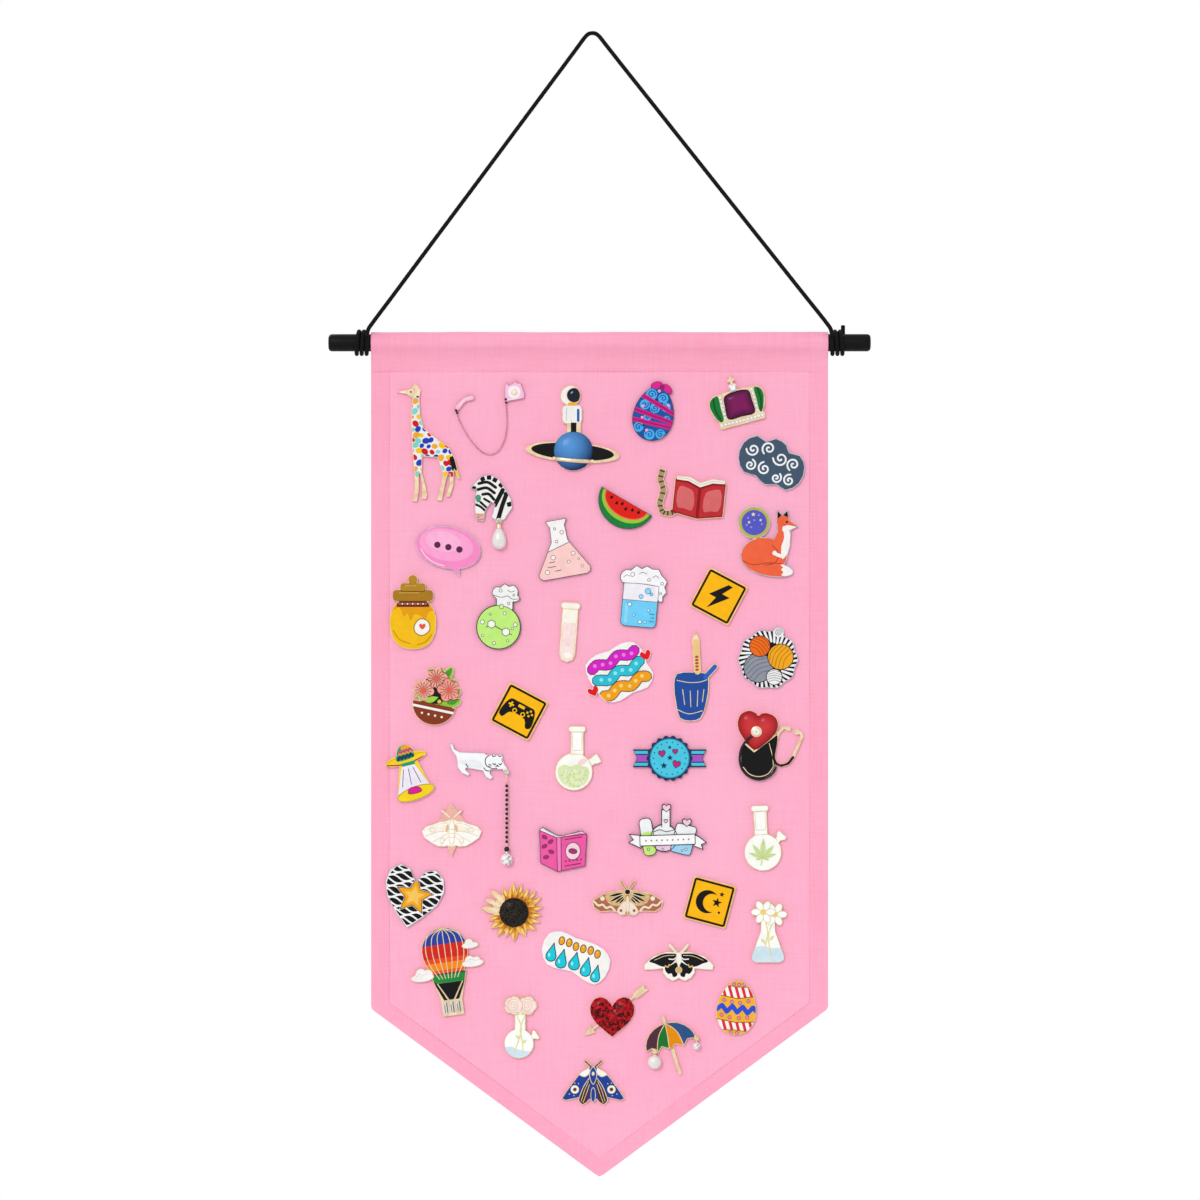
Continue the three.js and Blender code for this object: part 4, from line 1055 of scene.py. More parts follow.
def hem_mesh():
    """The turned-in edge behind the cloth, along both sides and the point."""
    levels = [PANEL_TOP - 1 + (CORNER_Z + 4 - PANEL_TOP) * i / 44 for i in range(45)]
    fold = CLOTH_HALF - 0.3
    held = CLOTH_HALF - HEM_WIDTH
    strip = [((-fold, z), (-held, z)) for z in levels]
    for i in range(61):
        x = -CLOTH_HALF + 0.6 + (2 * CLOTH_HALF - 1.2) * i / 60
        inner = max(-held, min(held, x))
        strip.append(((x, bottom_edge(x) + 0.3), (inner, bottom_edge(inner) + HEM_WIDTH * SLOPE)))
    strip.extend(((fold, z), (held, z)) for z in reversed(levels))
    across = (0, 0.06, 0.3, 0.6, 0.85, 0.95, 1)
    verts = []
    for (xo, zo), (xi, zi) in strip:
        for t in across:
            y = 0.5 - 0.18 * math.exp(-((t - 0.9) / 0.06) ** 2)
            verts.append((CENTRE_X + xo + (xi - xo) * t, y, zo + (zi - zo) * t))
    return verts, grid(len(strip), len(across), closed=False)


hem = build("turned_hem", "banner", "canvas", *hem_mesh(), ["canvas"], smooth=True)
thicken(hem, 0.0008)
hem.modifiers.new("edges", "BEVEL").width = 0.0003


def stitch(start, end, front):
    """One stitch, lying on the cloth between two holes."""
    along = (end - start).normalized()
    side = Vector((along.z, 0, -along.x)) * 0.24
    out = Vector((0, -0.22 if front else 0.22, 0))
    verts = []
    for t, lift in ((0, -0.7), (0.2, 0.75), (0.8, 0.75), (1, -0.7)):
        middle = start.lerp(end, t)
        verts.extend((middle - side - 0.6 * out, middle + lift * out, middle + side - 0.6 * out))
    faces = []
    for i in (0, 3, 6):
        faces.append((i, i + 3, i + 4, i + 1))
        faces.append((i + 1, i + 4, i + 5, i + 2))
    if not front:
        faces = [tuple(reversed(face)) for face in faces]
    return verts, faces


def stitched(path, y, front):
    """A row of stitches along a path of (across, up)."""
    points = spaced([Vector((CENTRE_X + x, y, z)) for x, z in path], STITCH_PITCH)
    row = []
    for start, end in zip(points[:-1], points[1:-1]):
        row.append(stitch(start, start + (end - start).normalized() * STITCH_LENGTH, front))
    return row


stitch_half = CLOTH_HALF - SIDE_SEAM
point_row = []
for i in range(41):
    x = stitch_half * (1 - i / 20)
    point_row.append((x, bottom_edge(x) + LOWER_SEAM * SLOPE))
hem_row = [(stitch_half, PANEL_TOP), *point_row, (-stitch_half, PANEL_TOP)]
pocket_row = [(-CLOTH_HALF + 2, PANEL_TOP), (CLOTH_HALF - 2, PANEL_TOP)]
stitches = []
for path, front, back in ((hem_row, -0.72, 0.78), (pocket_row, -0.68, 1.05)):
    stitches.extend(stitched(path, front, True))
    stitches.extend(stitched(path, back, False))
thread = build("stitching", "banner", "canvas", *gather(stitches), ["thread"], smooth=True)


# Figures that a pin repeats

def patches():
    """Rounded coloured patches, spaced out over the giraffe, as a layer for each colour."""
    colors = ("#d4161f", "#f6c50f", "#1f3db5", "#7fd6c6", "#d4161f", "#f3a92a", "#1f3db5")
    layers = [[color] for color in colors]
    for row in range(15):
        for column in range(9):
            u = -15 + 4.3 * column + 2.1 * (row % 2) + 0.6 * math.sin(7 * row + 3 * column)
            v = 31.6 - 3.7 * row + 0.5 * math.sin(5 * column + row)
            size = 1.6 + 0.4 * math.sin(3 * row + 5 * column)
            shape = oval(u, v, 1.25 * size, size, 50 * math.sin(2 * row + column), 10)
            layers[(2 * row + 3 * column + row // 3) % 7].append(shape)
    return [tuple(layer) for layer in layers]


def rungs(path, reach):
    """Bars across a path, at every second point."""
    bars = []
    for start, end in list(zip(path, path[1:]))[1::2]:
        side = Vector((start.y - end.y, end.x - start.x)).normalized() * reach
        bars.append([start - side, start + side])
    return bars


def wavy_band(level, color, light, phase):
    """A wavy band with a dark edge and a row of light dots."""
    reach = 15.2
    curve = []
    for i in range(25):
        rise = 1.5 * math.sin(2 * math.pi * i / 12 + phase)
        curve.append((-reach + 2 * reach * i / 24, level + rise))
    return [("#2a2140", *line(curve, 7.4)), (color, *line(curve, 6.4)),
            (light, *[disc(u, v + 0.2, 1.25, 14) for u, v in curve[2::4]])]


def yarn_ball(color, shade, u, v, radius, degrees):
    """A ball of yarn with its windings drawn in."""
    turns = []
    for offset in (-0.6, -0.3, 0, 0.3, 0.6):
        reach = radius * math.sqrt(1 - offset * offset) * 0.92
        bow = [(-reach, offset * radius), (0, offset * radius + 0.22 * radius), (reach, offset * radius)]
        turns.append(shifted(through(bow), u, v, degrees))
    return [*lined(color, INK, 0.45, disc(u, v, radius, 30)), (shade, *lines(0.5, *turns))]


def zigzag(v, reach):
    """A zigzag across the crown of the hat."""
    return shifted([(-reach + reach / 4 * i, 0.8 if i % 2 else -0.8) for i in range(9)], -2.8, v, 17)


def daisy(u, v):
    ring = [oval(*polar(4.7, degrees, u, v), 3.2, 2.1, degrees) for degrees in range(0, 360, 60)]
    return [*lined("#fbfbf8", "#d9c584", 0.3, *ring), ("#efd277", disc(u, v, 1.9, 16))]


def rose(u, v):
    fold = through([(u - 5, v), (u - 2, v - 4), (u + 3, v - 4.4)])
    return [*lined("#fae3dd", "#dcb98c", 0.35, disc(u, v, 5.8)),
            ("#dcb98c", *lines(0.3, spiral(u, v, 4.4, 2.2, 40), fold))]


def clouds(inset):
    """Three clouds beside the balloon, each of an oval with bumps on top."""
    ovals = ((-16.9, -1.4, 7.7, 3), (17, 15.4, 5.6, 2.2), (17.1, 3.6, 7.3, 2.7))
    bumps = ((-17.6, 1, 3.8), (-13.2, 0.2, 3.4), (16.4, 17, 2.9), (15.4, 5.4, 3.4), (19.8, 4.8, 2.9))
    return [*[oval(u, v, across - inset, up - inset) for u, v, across, up in ovals],
            *[disc(u, v, radius - inset) for u, v, radius in bumps]]


# Pins: each with its layers of enamel, the first at the bottom, and any raised work

badge("giraffe", [
    ("#eeeef4", PLATE),
    *patches(),
    ("#f6c50f", block(19.6, -20, 5, 8)),
    (INK, block(16.4, -13.4, 3.6, 9.6, 1.4, 12)),
    (BARE, block(-13, 36, 20, 10), block(2, -31, 29, 18)),
    (INK, disc(-11.6, 33.7, 0.55)),
])

badge("handset", [
    ("#fabfd4", PLATE),
    # A painted highlight along the handset's upper curve
    ("#fcdde8", *curves(0.6, [(-16.8, 8), (-13, 12.2), (-8.6, 13.4)])),
], 0.3)

badge("phone", [
    ("#f6c2e2", PLATE),
    ("#fbf0f5", disc(19.4, 17, 4.1)),
    ("gold", disc(19.4, 17, 2.3)),
    ("#fbe9f1", disc(19.4, 17, 1.2)),
    ("#fadcea", block(19.6, 12.6, 9, 1, 0.4, 8)),
], 0.35)

badge("astronaut", [
    (BLACK, oval(-0.5, -0.5, 27.2, 5.5, -4.5, 40)),
    (WHITE, disc(-1.8, 36.3, 6.2)),
    ("gold", disc(0.5, 36.6, 5.1)),
    ("#171f2d", disc(0.5, 36.6, 4.7)),
    # A painted highlight on the visor
    ("#8fa3bd", oval(-1, 38.4, 1, 0.5, 40)),
    ("#f0b02e", block(0.7, 30.6, 8.6, 2.4, 0.8)),
    ("#f3f1ee", block(-0.8, 24, 12.2, 11.4, 2.6)),
    ("#2f62b0", block(3.2, 23.4, 1.7, 8.4, 0.3)),
    ("#c9c6c2", *lines(0.4, [(-4.4, 28), (-4.6, 20)], [(-1, 20.5), (-1, 18.8)])),
    (BLACK, block(0.2, 15.4, 3.6, 6.4)),
])
# The planet's blue goes from a painted highlight to painted shade at its edge
dome("planet", "astronaut", 12.8, 4.05, ("#5697da", "#113264"))

curl_places = (
    (-4, 12, 3.4, 0, 1), (4, 11, 3, 180, -1), (-7, 4.6, 3, 40, -1), (0, 3.6, 3, 200, 1),
    (7, 5.6, 2.8, 120, 1), (-8, -10.6, 3, 20, 1), (0, -14, 3.2, 190, -1), (7, -12.4, 2.9, 60, 1),
    (-3.6, -3.2, 2.2, 0, 1), (9, -2, 2, 90, -1))
swirls = [spiral(u, v, radius - 0.6, 1.3, start, way) for u, v, radius, start, way in curl_places]
bands = [[(-9.6, 10.3), (13, 2.2)], [(-14.4, 0.6), (14.4, -3.8)], [(-14.6, -6.2), (14, -7)]]
badge("blue_egg", [
    ("#1a549f", PLATE),
    ("#47aeee", *[disc(u, v, radius + 0.3) for u, v, radius, _, _ in curl_places]),
    ("#16458f", *lines(0.6, *swirls)),
    ("#0c2f5e", *dots(0.7, 8, (-11, 1), (4, 7.6), (-5, -9), (10, -13), (0, 9), (-10, -14))),
    ("#d51a83", *lines(3, *bands)),
    ("#8f0f5c", *lines(0.6, *bands)),
    ("#f7a3d0", disc(0.5, 15.2, 1), disc(-8, 3.4, 1), disc(8.3, 7.1, 1), disc(-2.3, -11.6, 1),
     disc(-7, -4, 0.9)),
    ("#e0218f", oval(-2, 18.6, 3.8, 2.2, 25), oval(5.4, 17.6, 3.8, 2.2, -35)),
    ("#a31268", disc(1.8, 18, 1.7)),
], 0.3)

badge("crown", [
    ("#0f7a33",
     soft([(-17.8, 0), (-17.6, 5.2), (-14.6, 7.8), (-11.6, 8.6), (-11.4, 0), (-11.8, -8.4), (-14, -8.6)]),
     soft([(17.8, 0), (17.6, 5.2), (15.4, 7.6), (13.2, 8), (12.9, 0), (13, -8.4), (14.2, -8.6)])),
    # Darker green lines down each side panel: painted shade
    ("#0a4f22", *curves(1.1, [(-14.6, 7.4), (-15.2, 0), (-13.2, -8)])),
    ("#0a4f22", *curves(1.1, [(15.4, 6.8), (15.6, 0), (14, -8)])),
])
cushion = soft([(-8.4, -8.3), (-8.6, 0), (-7.6, 6.6), (-3.6, 8.3), (1.4, 8.7), (6, 8.3), (9.4, 6.8),
                (9.9, 0), (9.6, -8.3), (0.6, -8.6)])
# The velvet is lighter at its crown and darker at its edge: painted light and shade
puff("velvet", "crown", cushion, 3.5, 6, ("#7c1759", "#33082d"))
gems("crown_stones", "crown", [
    *[(u, -6.9 + 2.75 * i, 1.2) for i in range(6) for u in (-10, 11.4)],
    *[(-13.6 + 2.5 * i, -11, 1.2) for i in range(12)],
    (-0.3, 11, 2.9),
])

mane = [(-6, 12.6, 24), (-1.4, 13.6, 0), (2.8, 11.9, -28), (7, 8.4, -42), (10.6, 2.4, -60),
        (12.6, -4.6, -74)]
badge("zebra", [
    ("#f4f2ee", PLATE),
    (INK, *[block(u, v, 3, 4.6, 0.6, turn) for u, v, turn in mane]),
    (INK, *curves(1.9, [(-8.2, 8.8), (-2.4, 9.7), (3, 6.2)], [(-9, 4.8), (-3, 6), (2.2, 2.6)],
                  [(-5.6, 1.7), (-1.8, 2), (1.8, -1.6)])),
    (INK, *curves(1.5, [(-4.6, -1.2), (-0.6, -3.6)], [(-10.4, -4.8), (-7.3, -6.2), (-4, -9)],
                  [(-7, -3.4), (-3, -7)])),
    (INK, *curves(2.8, [(7.6, 4.6), (2.4, -5.4)], [(9.8, 1.4), (7, -6.4), (4.5, -15)])),
    (INK, oval(-11.6, 5.9, 1.8, 1.2, 12)),
    ("#e2b09d", block(-7.3, -13.8, 8, 6)),
    ("#b27867", oval(-8.4, -13.2, 0.9, 0.5, 30),
     *lines(0.4, [(-9.4, -15), (-5, -14.6)], [(-9.6, -11.4), (-6, -12)])),
], 0.35)
gems("zebra_eye", "zebra", [(-8.6, -0.4, 1.9), (-8.5, -2, 1.5)], "#0a9672")

rind = []
for degrees in range(190, 360, 14):
    t = math.radians(degrees)
    rind.append([(16 * math.cos(t), 13.6 * math.sin(t)), (19 * math.cos(t), 18 * math.sin(t))])
pips = [(-9.9, -2.4), (-5.2, -3.9), (-1.8, -2.5), (1.8, -4.4), (5.9, -2.8), (10.1, -2.2)]
badge("watermelon", [
    ("#12803c", PLATE),
    ("#1b7a39", *lines(1, *rind)),
    ("#9bc537", half_disc(0, 0, 17.3, 13.5)),
    ("#f26a50", half_disc(0, 0, 15.7, 11)),
    ("#e21c15", half_disc(0, 0, 15, 10.2)),
    (INK, *[drop_shape(u, v, 2.1, 2.8, 20 * u / 9) for u, v in pips]),
], 0.3)

ribbon_path = through([(-6, -9), (-12, -13), (-17, -12.6), (-19.4, -7), (-17.6, 2), (-20.6, 9),
                       (-19.6, 16)])
badge("red_book", [
    ("#b09472", PLATE),
    ("#4c392d", *lines(1, *rungs(ribbon_path, 2.6))),
    ("#8f141d", [(-11, 10), (-9.5, 12.5), (-2, 12.6), (6, 9.5), (14, 12.6), (21.5, 12.5), (23, 10),
                 (23, -12), (6, -15), (-11, -12)]),
    ("#f4efe6", [(-9.8, 11.9), (-2, 12.2), (6, 8.9), (14, 12.2), (21.8, 11.9), (21.8, 9.9), (14, 9.6),
                 (6, 6.2), (-2, 9.6), (-9.8, 9.9)]),
    ("#c02a31", [(-10, 8.6), (-2, 8.2), (5, 5), (5, -13.6), (-10, -10.9)],
     [(7, 5), (14, 8.2), (22, 8.6), (22, -10.9), (7, -13.6)]),
    ("#d8686a", soft([(-7.5, 5.5), (-2, 5), (2, 2.6), (2.2, -9.4), (-3, -8.6), (-7.5, -8)]),
     soft([(10, 2.6), (14, 5), (19.6, 5.6), (19.6, -8), (14, -8.8), (10, -9.6)])),
    ("#c9bfae", *lines(0.25, [(-9, 11), (-2, 11), (6, 7.6), (14, 11), (21, 11)])),
])

curls = [spiral(u, v, radius, 1.4, start, way) for u, v, radius, start, way in (
    (-14.6, 2.6, 4.4, 200, 1), (-5.4, 7.4, 4.6, 250, -1), (4.4, 4.6, 5, 200, 1), (13.6, 4.6, 4.4, 260, -1),
    (-12, -7.4, 3.8, 90, -1), (-2.6, -5.8, 4.4, 120, 1), (7, -8, 3.6, 70, -1), (15.4, -6, 4, 100, 1))]
badge("cloud", [("#42556a", PLATE), ("#f1f3f5", *lines(1.15, *curls))])

badge("bubble", [
    ("#f78cc6", PLATE),
    # Lighter ovals and a pale arc on the bubble: painted highlights
    ("#fca3d2", oval(-1.6, 1.6, 18, 10.4)),
    ("#feb4da", oval(-4, 3.4, 12, 6.6)),
    ("#fbd3ec", *curves(0.7, [(-17.4, -4.4), (-13, -8.8), (-6, -11.6), (0, -12.2)])),
    ("#57264b", disc(-7.4, 0.4, 2.1), disc(0, 0.4, 2.1), disc(7.4, 0.4, 2.1)),
], 0.35)

badge("pink_flask", [
    ("#f7f5f4", PLATE),
    ("#6f6a6c", [(-20, -3.9), (-9.4, -0.9), (0, 1.8), (5.3, 3.3), (20, 7.5), (20, -22), (-20, -22)]),
    ("#fbcdc9", [(-20, -4.4), (-9.4, -1.4), (0, 1.3), (5.3, 2.8), (20, 7), (20, -22), (-20, -22)]),
    *ringed("#6f6a6c", "#fdeceb", 0.35, (-6, -5, 1.7), (7.4, -4.4, 1.5), (-11.4, -14, 1.6),
            (2.4, 10.4, 1.4), (-1.8, 13.4, 0.9), (3.6, -9.4, 1.2), (-2, 5, 1.1), (12, -13.6, 1),
            (10.4, -8.6, 0.8)),
    ("#6f6a6c", *lines(0.5, [(-9, -8), (-5.4, -8)], [(-10.4, -11), (-5.4, -11)], [(-6, -14), (-2.4, -14)])),
    ("#6f6a6c", *lines(0.4, [(-6.6, 15.6), (6.6, 15.6)])),
], 0.3)

badge("fox", [
    ("#b9b34c", disc(-9, 12, 10.6)),
    ("#5557c2", disc(-9, 12, 8.3)),
    ("#8f90e0", *dots(0.7, 10, (-13, 15), (-6, 17), (-11, 9), (-4, 11), (-9, 13.6), (-14, 10.4))),
    ("#f1e7a2", star(-9.6, 17.4, 1.5, 0.7), star(-4.8, 13.6, 1.1, 0.5), star(-12.4, 12.2, 1.1, 0.5)),
    ("#f0643f", oval(-2.5, -9.5, 15.5, 12), oval(2, -18.5, 15, 5, -8),
     soft([(2, -4), (6, 6), (6.5, 13), (14, 12), (15, 2), (13, -9), (7, -14)])),
    ("#f0643f", [(5.5, 12), (6, 20.5), (9.5, 17), (13, 20.5), (14, 14), (20, 9.5), (15, 7), (8, 7)]),
    ("#b5452a", *curves(0.6, [(3, -3), (7, -8), (5, -14), (-2, -16)],
                        [(-16.6, -13), (-10, -15.6), (0, -14.4), (9, -15)])),
    (WHITE, soft([(10.4, 8), (13.8, 7), (14.8, 1), (13, -8), (9.4, -12), (8.8, -4), (10.6, 2)])),
    (WHITE, [(9.6, 9.4), (13, 10.4), (19.4, 9.2), (15, 7), (9.4, 6.4)]),
    (WHITE, [(8, -15.6), (10, -17.4), (8.6, -18.8), (10.2, -20.6), (8.6, -22.6), (14, -24), (18, -20),
             (15, -15.4)]),
    (INK, [(6.4, 14.6), (6.2, 20), (8.9, 16.9)], [(10.2, 17), (12.8, 20), (13.3, 15.4)]),
    (INK, disc(12.4, 12.4, 0.7, 12), disc(19.3, 9.5, 0.9, 12)),
    (WHITE, disc(4.4, -8, 1.5, 12), oval(7, -9.4, 3.4, 1.2, -20)),
])

badge("honey_pot", [
    ("#f5be14", PLATE),
    # Darker curves round the pot's lower edges: painted shade
    ("#c98c0a", *curves(0.7, [(-13, -12), (-9, -18), (-2, -21)], [(12.4, -15), (8, -20), (3, -21.6)])),
    ("#e59d0c", soft([(-13.6, 1), (-9, 3), (-6, -3), (-3.4, -1), (-1.6, -6), (1, -1.6), (5, -2.6), (8, -5),
                      (10.4, 0), (13.8, 1), (9, 7), (-9, 7)])),
    *lined("#f7f4ee", "#7b5a1c", 0.5, soft([(1, -9), (5, -4.6), (10, -6.4), (11, -12), (6, -15.6),
                                            (1.6, -13.6)])),
    ("#e8553f", heart(6.2, -9.8, 4.2, 4)),
    ("#55241f", block(0, 5.2, 21, 4)),
    ("#d04a3c", *[disc(-8.6 + 3.4 * i, 5.2, 0.9, 12) for i in range(6)]),
    ("#f4e9dc", *[disc(-6.9 + 3.4 * i, 5.2, 0.6, 12) for i in range(5)]),
    *lined("#a9781d", "#6b4a10", 0.5, block(0, 10.6, 26.4, 7.4, 2.4)),
    *lined("#b58425", "#6b4a10", 0.5, block(0, 16, 16.4, 5.4, 1.8)),
    ("#b58425", disc(0, 21, 3)),
    # Light lines along the lid and its knob: painted highlights
    ("#d1a64d", *lines(0.6, [(-9, 12.4), (4, 12.4)], [(-5, 17), (2, 17)])),
], 0.4)

badge("green_flask", [
    ("#f4f4f2", PLATE),
    ("#5d645a", *edges(0.4, block(4, 16, 10.6, 12))),
    ("#f4f4f2", soft([(-2, 19), (-4.4, 23), (-1.6, 26.6), (1.2, 26.2), (4, 28.6), (7, 26.8), (10, 27.6),
                      (13, 24), (12.6, 21), (14.4, 18.6), (11, 16.4), (4, 18)])),
    ("#5d645a", *curves(0.4, [(-3.4, 21), (2, 19.6), (6, 20.4), (9, 18.4), (13.6, 18.6)],
                        [(6, 24.4), (8, 23), (10.6, 23.8)])),
    *ringed("#5d645a", "#f4f4f2", 0.35, (1.4, 24, 1.2), (6.6, 15.6, 1), (10, 21, 0.8)),
    *lined("#c1f07d", "#5d645a", 0.4, disc(0, 0, 14.2, 40)),
    *ringed("#5d645a", "#d6f6a6", 0.35, (2, 13.4, 1.6)),
    *ringed("#5d645a", "#f6faf0", 0.35, (-10.6, 3.4, 1.5), (11, 1.6, 1.5), (9, -1, 0.9), (-10.4, -5.4, 1),
            (4, 9, 1.2), (-5.4, 8.4, 0.8), (-3, -10.4, 1.2), (6, -9, 0.9)),
    ("#5d645a", *lines(0.5, [(-4.6, 2), (0, -0.6), (4.8, -3.2)], [(-4.6, 2), (-8, 0)],
                       [(4.8, -3.2), (8.6, -5)])),
    *lined("#f6faf0", "#5d645a", 0.4, hexagon(-4.6, 2, 2.7), hexagon(4.8, -3.2, 2.7)),
], 0.35)

badge("test_tube", [
    ("#fdf7ea", PLATE),
    ("gold", *edges(0.4, block(0, -5.6, 8.6, 26.4, 4.2))),
    ("#fbe1e0", block(0, -5.6, 8.2, 26, 4)),
    ("#fdf7ea", oval(0, 7.4, 4.4, 1.4), oval(0.4, -15.4, 2.6, 2)),
    ("#e9c9a6", *curves(0.35, [(-1.6, 2), (-1, 4.4)], [(-1, -9), (0, -7.4), (1, -9)],
                        [(1.4, -2), (2, 0.6)])),
    ("gold", *lines(0.45, [(-6, 15.2), (6, 15.2)])),
    ("#fdf7ea", block(0, 17.4, 11.4, 3.2, 1.4)),
], 0.5)

beaker_top = soft([(-12.6, 12), (-14.4, 17), (-11, 21), (-7.6, 20.8), (-4.4, 24.2), (-0.6, 22.4),
                   (2.6, 24.4), (6.4, 22.6), (10.4, 22.8), (12.8, 19), (16.8, 15), (15.4, 11.4), (17, 8),
                   (14.6, 5), (15, 2), (12.6, 1.4), (10, 5), (9, 12)])
badge("beaker", [
    ("#f2eef6", PLATE),
    ("#70d0f8", block(0, -7.4, 24, 17.4, 2.4)),
    ("#6b7780", *lines(0.4, [(-12, 1.2), (12, 1.2)])),
    # A lighter stripe down the liquid's left side: painted reflection
    ("#8fdcfa", block(-8.4, -7.6, 2, 13, 0.8)),
    ("#f8f6fa", beaker_top),
    ("#6b7780", *curves(0.4, [(-12, 12), (0, 12.4), (11, 11.6)], [(11.6, 11.6), (11.6, -14)])),
    ("#6b7780", *curves(0.35, [(-2, 18.6), (0, 20), (3, 19)], [(7, 17), (9, 18.4), (11, 17)],
                        [(-12, 16), (-10, 17.4), (-8, 16.6)])),
    *ringed("#6b7780", "#f8f6fa", 0.35, (-6.4, 18, 1.5), (4.6, 15.4, 1.1), (13.4, 13.6, 1.1), (13, 7, 0.9)),
    *ringed("#3f8fb0", "#8fdcfa", 0.35, (4.6, 8, 2), (7, 6, 1.1), (0.4, 4, 1.5)),
    *ringed("#3f8fb0", "#f2fbff", 0.35, (-6.6, -1.6, 1.4), (1, -12.6, 1.3), (4.4, -12.4, 0.9), (6, -4.6, 1),
            (-3.4, -8.4, 0.9)),
    ("#3f8fb0", *lines(0.45, [(7, -7), (10, -7)], [(8, -9.4), (10, -9.4)], [(7, -11.8), (10, -11.8)])),
], 0.35)

sign = [("#fcb90a", PLATE), (INK, *edges(1.4, block(0, 0, 25.6, 25.6, 0.9)))]
bolt = [(2.2, 9.6), (-6.6, -1.4), (-1.4, -1.4), (-3.8, -10), (6.8, 2.4), (1.2, 2.4), (5.4, 9.6)]
badge("bolt_sign", [*sign, (INK, bolt)])
badge("game_sign", [
    *sign,
    (INK, soft([(-8.6, 5.4), (-4, 5.8), (4, 5.8), (8.6, 5.4), (11, 0), (11.4, -6.6), (8.6, -7.8),
                (5.4, -2.8), (-5.4, -2.8), (-8.6, -7.8), (-11.4, -6.6), (-11, 0)])),
    ("#fbbd0d", block(-6.8, 2, 3.8, 1.2), block(-6.8, 2, 1.2, 3.8), block(0, 3.6, 4.6, 2, 0.4)),
    ("#fbbd0d", *dots(0.75, 12, (6.8, 3.7), (6.8, 0.3), (5.1, 2), (8.5, 2))),
    ("#fbbd0d", disc(-3, -0.6, 1.6), disc(3, -0.6, 1.6)),
    (INK, disc(-3, -0.6, 0.9), disc(3, -0.6, 0.9)),
])
crescent = [*[polar(7.6, degrees, -1.6) for degrees in range(49, 312, 10)],
            *[polar(6, degrees, 1.6) for degrees in range(285, 74, -10)]]
badge("moon_sign", [
    *sign,
    (INK, crescent, star(4.6, 1, 3.4, 1.4), star(6.4, 7, 1.8, 0.8), disc(7.6, -5, 0.8)),
])

blooms = ((-8.8, 2, 5.4, 0), (-2, 11.2, 5.8, 20), (7.6, 5.4, 6, 40))
petals = [bloom(u, v, reach + 1.9, reach - 0.1, 5, start) for u, v, reach, start in blooms]
veins = []
for u, v, reach, start in blooms:
    for degrees in range(start, start + 360, 24):
        veins.append([polar(2, degrees, u, v), polar(reach, degrees, u, v)])
badge("flower_basket", [
    ("#8cc63e", PLATE),
    ("#151315", oval(-1, 1.6, 8, 7), leaf(-6, 5, 9, 4.4, 100), leaf(4, 2, 10, 4.4, 60)),
    ("#4f9433", leaf(2, 11, 10, 4, 62), leaf(8, -3.4, 9, 4, 30),
     *lines(0.5, [(3, 11), (6, 20)], [(9, -3), (16, 1)])),
    *lined("#f4ab99", "#6b2320", 0.4, petals[1]),
    *lined("#f4ab99", "#6b2320", 0.4, petals[0]),
    *lined("#f19c8c", "#6b2320", 0.4, petals[2]),
    ("#7d2a26", *lines(0.35, *veins)),
    ("#e2604f", *[disc(u, v, 1.8, 14) for u, v, _, _ in blooms]),
    *lined("#d9c24a", "#151315", 0.4, disc(-1.6, -2.6, 1.5, 16), disc(3, -3.2, 1.5, 16)),
    ("#9ad24b", leaf(-6, -5, 9, 4, 30), leaf(-8, -5.6, 7, 3.4, 150)),
    ("#85371b", half_disc(0, -5.4, 14.2, 13.8)),
    ("#f5f2ee", block(0, -8.8, 30, 1.6)),
    ("#f5f2ee", *[disc(-6.6 + 4.4 * i, -12.8, 0.75, 12) for i in range(4)]),
], 0.4)

badge("wavy_bands", [
    (WHITE, PLATE),
    *wavy_band(9.4, "#d41fc2", "#ee7be4", 0),
    *wavy_band(0, "#2bbfd4", "#8be6f0", 1.6),
    *wavy_band(-9.4, "#f0a012", "#fad27a", 3.2),
    ("#e3141d", heart(-20.6, -4, 7.2, 6.6), heart(20.8, 3, 7.2, 6.6)),
], 0.5)

badge("pencil_pot", [
    ("#1f4b9b", PLATE),
    ("gold", *curves(0.5, [(-11.6, -2), (-4, -3.4), (4, -3), (8, -1.6)],
                     [(-12, -21), (-4, -24), (5, -22)])),
    ("gold", *lines(0.5, [(-8, -8), (-6.6, -18)], [(-3, -9), (-2.6, -19.4)], [(2, -8.6), (1.6, -19)],
                    [(6, -8), (5, -16)])),
    ("#efc77e", *line([(1.8, 3.8), (0.6, 25)], 4.2)),
    ("#b8463f", *[oval(1.5 - 0.06 * i, 5 + 2.1 * i, 1.2, 0.8, 10, 12) for i in range(5)]),
    ("#f5dfb4", [(-1.6, 24.6), (2.8, 25), (0.4, 30)]),
    (INK, [(-0.3, 28), (1.1, 28.2), (0.4, 30)]),
    ("#2b61b8", *line([(7, 0), (13.2, 7)], 3.2)),
], 0.55)

stripes = []
for i in range(36):
    t = math.radians(10 * i)
    stripes.append([(12 * math.cos(t), 12 * math.sin(t)),
                    (21 * math.cos(t + 0.16), 21 * math.sin(t + 0.16))])
badge("yarn", [
    (INK, PLATE),
    ("#f3f3f4", *lines(1.5, *stripes)),
    ("#f3f3f4", disc(7, 17.6, 3.2)),
    ("#8d919c", *lines(0.5, spiral(7, 17.6, 2.6, 2))),
    *yarn_ball("#8f939f", "#6d7180", -6.4, -5.6, 9.6, 30),
    *yarn_ball("#ee6c16", "#b84a08", -5.4, 8.6, 6.8, -40),
    *yarn_ball("#f2a71c", "#bd7a08", 8.2, 1.6, 8.4, 60),
    *yarn_ball("#f1f0ee", "#a9a9b0", 4, -11.6, 5.2, 0),
])

